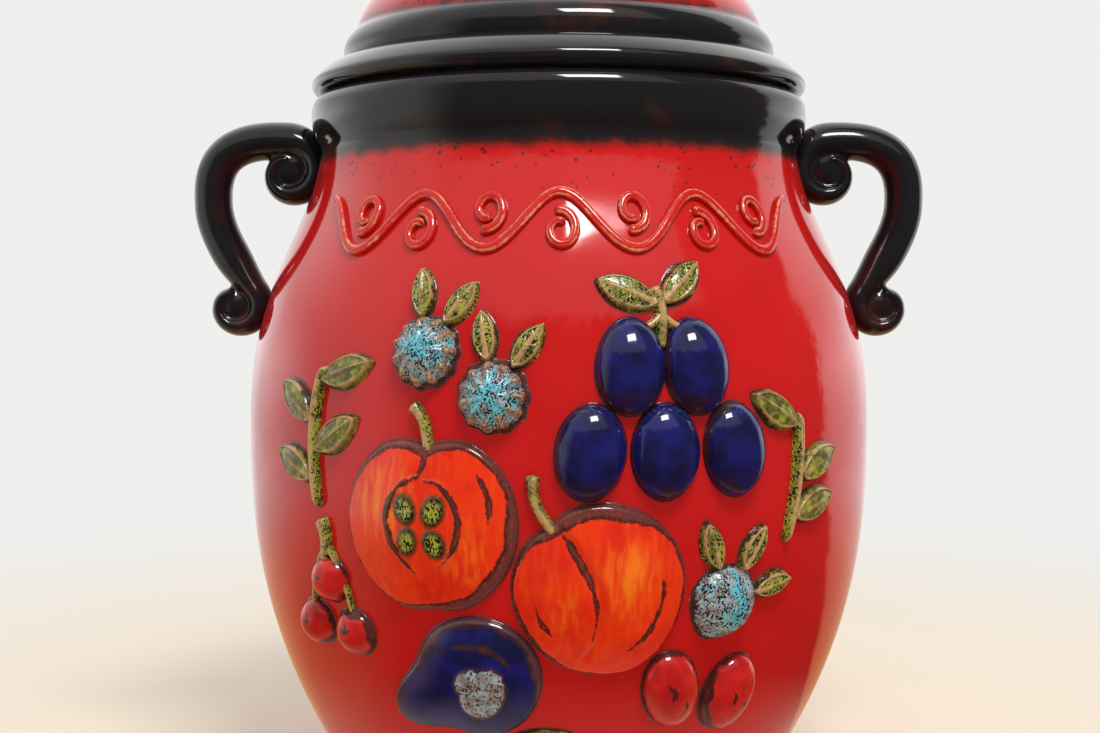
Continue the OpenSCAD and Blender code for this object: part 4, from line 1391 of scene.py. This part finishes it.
# %% [markdown]
# ## Cobalt fruit
# The damsons and the fig are a thick cobalt that pools almost black in places and turns brown low
# on the damsons. A green-grey bloom lies on the damsons' tops and low on the fig, and the fig's
# heart is grey and curdled.

# %% Cobalt fruit
def cobalt_glaze():
    g = GlazeMix("cobalt_fruit_glaze", 0.06)
    colour = g.blend(g.uneven(7, 3), COBALT, INK_BLUE)
    brown = g.times(g.band(g.field("blush"), -0.2, -0.9), g.band(g.noise(5, 3), 0.35, 0.6))
    colour = g.blend(g.times(brown, 0.9), colour, DAMSON_BROWN)
    bloom = g.times(g.band(g.field("blush"), 0.45, 1.0), g.band(g.noise(1.2, 4), 0.45, 0.65))
    colour = g.blend(g.times(bloom, 0.4), colour, DAMSON_BLOOM)
    heart = g.add(g.field("pips"), g.jitter(1.6, 3, 2.0))
    colour = g.blend(g.band(heart, 0.0, 1.2, 0.7, 0), colour, BURNT)
    grey = g.blend(g.band(g.noise(3.2, 3), 0.42, 0.6), CLAY_GREY, ASH_BLUE)
    grey = curdled(g, grey, HEART_BROWN, 0.8, 0.58, 1.0)
    colour = g.blend(g.band(heart, -0.4, 0.0, 1, 0), colour, grey)
    return g.finish(outlined(g, colour, 0.85), g.uneven(12, 2, 0.05, 0.1), orange_peel(g), 0.08)


glaze_pieces(cobalt_glaze(), fig, damsons)

# %% [markdown]
# ## Turquoise berries
# This glaze curdles: turquoise pools in the hollows, ash grey over the slopes, black dots
# everywhere, and it runs off the ribs and leaves them brown.

# %% Turquoise berries
def turquoise_glaze():
    g = GlazeMix("turquoise_berry_glaze", 0.1)
    pooled = g.add(g.times(g.field("blush"), 0.22), g.noise(3.6, 3))
    colour = g.blend(g.band(g.noise(2.4, 3), 0.4, 0.6), ASH_BLUE, CLAY_GREY)
    colour = g.blend(g.band(pooled, 0.56, 0.66, 0, 0.9), colour, TURQUOISE)
    colour = curdled(g, colour, BLACK, 0.62, 0.55)
    ribs = g.add(g.field("ribs"), g.jitter(1.4, 3, 0.9))
    worn = g.blend(g.band(g.noise(1.1, 2), 0.38, 0.62), BERRY_BROWN, RIB_TAN)
    colour = g.blend(g.band(ribs, 0.48, 0.62, 0, 0.95), colour, worn)
    return g.finish(outlined(g, colour), g.uneven(2, 3, 0.08, 0.25), g.noise(1.2, 3), 0.12)


glaze_pieces(turquoise_glaze(), gooseberries, hazelnut)

# %% [markdown]
# ## Red berries
# The berries and hips are the body's own red, set off only by the brush line and a little orange
# where the glaze is thin.

# %% Red berries
def berry_glaze():
    g = GlazeMix("red_berry_glaze")
    colour = g.blend(g.uneven(6, 3), BERRY_RED, BERRY_DARK)
    thin = g.times(g.field("blush"), g.band(g.noise(3, 3), 0.3, 0.6))
    colour = g.blend(g.times(thin, 0.6), colour, BERRY_ORANGE)
    return g.finish(outlined(g, colour), g.uneven(12, 2, 0.06, 0.11), orange_peel(g), 0.05)


glaze_pieces(berry_glaze(), cranberries, hips)

# %% [markdown]
# ## Leaves and stalks
# Olive glaze breaks to tan on every raised line and rim. On the small leaves it curdles to black
# in the hollows. The large plain leaves, on the sprays and under the fig, are mottled
# instead, and their ribs show less.

# %% Leaves and stalks
def olive_glaze():
    g = GlazeMix("olive_leaf_glaze", 0.1)
    plain = g.field("plain")
    olive = g.blend(g.band(g.noise(4, 3), 0.35, 0.7), OLIVE, DARK_OLIVE)
    mottled = g.blend(g.band(g.noise(2.6, 4), 0.4, 0.62), olive, MOSS)
    mottled = g.blend(g.band(g.noise(5.5, 3), 0.52, 0.68, 0, 0.7), mottled, BERRY_BROWN)
    colour = g.blend(g.times(plain, 0.85), curdled(g, olive, BLACK, 0.62, 0.54), mottled)
    rib = g.band(g.add(g.field("ribs"), g.jitter(1.2, 3, 1.0)), 0.0, 0.35, 1, 0)
    rib = g.times(rib, g.math("SUBTRACT", 1.0, g.times(plain, 0.7)))
    rim = g.math("ABSOLUTE", g.math("SUBTRACT", g.field("inward"), 0.75))
    rim = g.band(g.add(rim, g.jitter(1.6, 3, 1.0)), 0.2, 0.55, 0.95, 0)
    raised = g.times(g.math("MAXIMUM", rib, rim), g.band(g.noise(5, 2), 0.36, 0.5, 0.25, 1))
    colour = g.blend(raised, colour, g.blend(g.noise(0.9, 2), TAN, WORN_TAN))
    return g.finish(outlined(g, colour), g.uneven(2, 3, 0.08, 0.22), g.noise(1.1, 3), 0.08)


glaze_pieces(olive_glaze(), *leaves)

# %% [markdown]
# ## The vine's worn shoulders
# The vine lies under the body's red. The glaze flows off its shoulders, so they show a thin broken
# tan line along both sides, and deeper red where the line meets the wall.

# %% The vine's worn shoulders
def vine_glaze():
    g = GlazeMix("relief_line_glaze")
    shoulder = g.field("shoulder")
    ridge = g.math("ABSOLUTE", g.math("SUBTRACT", shoulder, 0.62))
    broken = g.add(ridge, g.jitter(1.3, 4, 0.7))
    thin = g.times(g.band(broken, 0.08, 0.2, 1, 0), g.band(g.noise(7, 3), 0.42, 0.6, 0.12, 0.75))
    colour = g.blend(g.band(shoulder, 0.8, 1.1), red_base(g), DEEP_RED)
    return g.finish(g.blend(thin, colour, TAN), 0.07, orange_peel(g), 0.04)


glaze_pieces(vine_glaze(), vine)

# %% [markdown]
# ## What the glaze reflects
# Glaze is a dark mirror, so what stands round the pot matters as much as the lamps. The
# photographed pot reflects pale walls at its sides, a dim room in front and a bright ceiling on
# its shoulder. A picture of a room would do this too, but a few bands of direction are enough.
# The wall on the left fades out softly, and the one on the right ends in a torn crisp edge. Both
# are brightest in a level band towards the back, and a glow high up behind gives the lid its
# long pale sheen. The ceiling stops at a torn edge on the right. The same rule colours a dome
# that only reflections see, and the far floor.

# %% What the glaze reflects
WHITE_WALL = (0.863, 0.860, 0.845)
DIM_ROOM = (0.115, 0.105, 0.10)
SUNLIT_WALL = (1.6, 1.62, 1.65)
TABLE_TINT = (0.64, 0.31, 0.08)


def surroundings(g):
    """Colour of the room in the direction from the pot to a point of a stage piece."""
    x, y, z = g.parts(g.vector("NORMALIZE", g.place).outputs[0])
    wobble = g.jitter(380, 2, 0.14)
    torn = g.add(wobble, g.jitter(80, 4, 0.16))
    ahead = g.add(g.math("SUBTRACT", g.times(x, 0.35), y), wobble)
    left_wall = g.band(ahead, 0.02, 0.50, 1, 0)
    right_wall = g.band(g.add(ahead, torn), 0.0, 0.09, 1, 0)
    walls = g.blend(g.band(x, -0.1, 0.3), left_wall, right_wall)
    rightwards = g.math("DIVIDE", x, g.math("MAXIMUM", g.times(y, -1.0), 0.05))
    up_to = g.band(g.add(rightwards, g.times(torn, 4.0)), 1.5, 1.9, 0.8, 0.08)
    ceiling = g.times(g.band(g.add(z, torn), 0.53, 0.60), up_to)
    glow = g.times(g.band(z, 0.22, 0.62), g.band(y, -0.15, 0.5))
    up = g.add(z, wobble)
    level = g.math("MINIMUM", g.band(up, -0.04, 0.16, 0.2, 1), g.band(up, 0.12, 0.36, 1, 0.25))
    sideways = g.band(g.math("ABSOLUTE", x), 0.25, 0.55)
    lit = g.times(sideways, g.times(g.band(y, 0.05, 0.45), level))
    pale = g.blend(g.math("MAXIMUM", glow, lit), WHITE_WALL, SUNLIT_WALL)
    return g.blend(g.math("MAXIMUM", walls, ceiling), DIM_ROOM, pale)


# %% [markdown]
# ## A dome that only reflections see
# The room is painted on the inside of a dome, a little over two metres away. It glows by itself,
# casts no shadow and lights nothing, so the lamps can be set without it.

# %% A dome that only reflections see
room_r = 2.2


def glowing(g, colour):
    """Emission of a colour, for stage pieces."""
    return g.feed(g.new("Emission"), Color=colour).outputs[0]


def stage_piece(name, points, faces, g, surface):
    """A piece of the stage, whose look is one shader socket."""
    g.links.new(surface, g.nodes["Material Output"].inputs["Surface"])
    mesh = bpy.data.meshes.new(name)
    mesh.from_pydata(points, [], faces)
    mesh.materials.append(g.material)
    obj = bpy.data.objects.new(name, mesh)
    bpy.context.scene.collection.objects.link(obj)
    print(f"{name}: {len(points)} points, {len(g.nodes)} nodes")
    return obj


a = np.radians(np.arange(0, 360, 7.5))
lat = np.radians(np.arange(-2, 89, 5.0))[:, None]
rows = [np.cos(lat) * np.cos(a), np.cos(lat) * np.sin(a), np.sin(lat) + 0 * a]
rows = room_r * np.stack(rows, -1).reshape(-1, 3)
room_points = np.concatenate([[[0, 0, room_r]], rows]).tolist()
room_faces = quads(len(lat), len(a), 1) + cap(0, 1 + (len(lat) - 1) * len(a), len(a))
room = GlazeMix("dim_room")
dome = stage_piece("dim_room", room_points, room_faces, room, glowing(room, surroundings(room)))
dome.visible_camera = dome.visible_diffuse = dome.visible_shadow = False

# %% [markdown]
# ## The floor
# The photograph was taken on a table by a window, against a pale wall. Here the table is a pale
# floor that fades into the backdrop's white with distance, so no line crosses the picture
# from any side. The glaze still sees the warm tint of a table near the pot, which is why the
# pot's lower edges aren't white, and it sees the room farther out.

# %% The floor
floor = GlazeMix("pale_floor", 0.6)
floor.feed(floor.shader, Base_Color=(0.80, 0.69, 0.54, 1))
reach = floor.vector("LENGTH", floor.place).outputs["Value"]
rays = floor.new("LightPath").outputs
watched = floor.math("MAXIMUM", rays["Is Camera Ray"], rays["Is Glossy Ray"])
plain_room = surroundings(floor)
wooden = floor.blend(1.0, plain_room, TABLE_TINT, "MULTIPLY")
table = floor.blend(floor.band(reach, 0.15, 0.9, 0.9, 0), plain_room, wooden)
far = floor.blend(rays["Is Glossy Ray"], WHITE_WALL, table)
fading = floor.times(floor.band(reach, 0.22, 0.75), watched)
sooner = floor.times(floor.band(reach, 0.07, 0.18), rays["Is Glossy Ray"])
mixed = floor.feed(floor.new("MixShader"), i0=floor.math("MAXIMUM", fading, sooner),
                   i1=floor.shader.outputs[0], i2=glowing(floor, far))
corners = [(-9, -9, 0), (9, -9, 0), (9, 9, 0), (-9, 9, 0)]
stage_piece("floor", corners, [(0, 1, 2, 3)], floor, mixed.outputs[0])

# %% [markdown]
# ## The wall's light
# Light from all sides comes from the world, which is a touch blue, as from a north window. Where
# the camera or a reflection looks at it, it shows the wall's white instead.

# %% The wall's light
world = bpy.data.worlds.new("pale_room")
bpy.context.scene.world = world
world.use_nodes = True
sky = Wiring(world.node_tree)
daylight = sky.feed(sky.nodes["Background"], Color=(0.95, 0.97, 1.0, 1), Strength=0.62)
wall_seen = sky.feed(sky.new("Background"), Color=(*WHITE_WALL, 1))
rays = sky.new("LightPath").outputs
watched = sky.math("MAXIMUM", rays["Is Camera Ray"], rays["Is Glossy Ray"])
mixed = sky.feed(sky.new("MixShader"), i0=watched, i1=daylight.outputs[0], i2=wall_seen.outputs[0])
sky.links.new(mixed.outputs[0], sky.nodes["World Output"].inputs["Surface"])
print("world", world.name, "with", len(sky.nodes), "nodes")

# %% [markdown]
# ## The windows
# One soft window stands in front, a little to the right and high up. The highlight on the
# shoulder fixes its lower edge, since the shoulder leans back by 24 degrees at most and so mirrors
# nothing higher than 50. A weak broad light behind, which reflections don't see, keeps the
# back of the pot from going dull.

# %% The windows
def window(name, azimuth, elevation, distance, width, height, power):
    """Area light that looks at the pot's shoulder from an azimuth right of the camera."""
    light = bpy.data.lights.new(name, "AREA")
    light.shape, light.size, light.size_y, light.energy = "RECTANGLE", width, height, power
    obj = bpy.data.objects.new(name, light)
    bpy.context.scene.collection.objects.link(obj)
    a, e = math.radians(azimuth), math.radians(elevation)
    away = Vector((math.sin(a) * math.cos(e), -math.cos(a) * math.cos(e), math.sin(e)))
    obj.location = away * distance + Vector((0, 0, 0.2))
    obj.rotation_euler = away.to_track_quat("Z", "Y").to_euler()
    print(f"{name}: {power} W at", [round(v, 2) for v in obj.location])
    return obj


window("window", azimuth=18, elevation=53.6, distance=1.3, width=0.45, height=0.30, power=12)
behind = window("fill_behind", azimuth=190, elevation=40, distance=1.7,
                width=2.4, height=1.2, power=7)
behind.visible_glossy = False
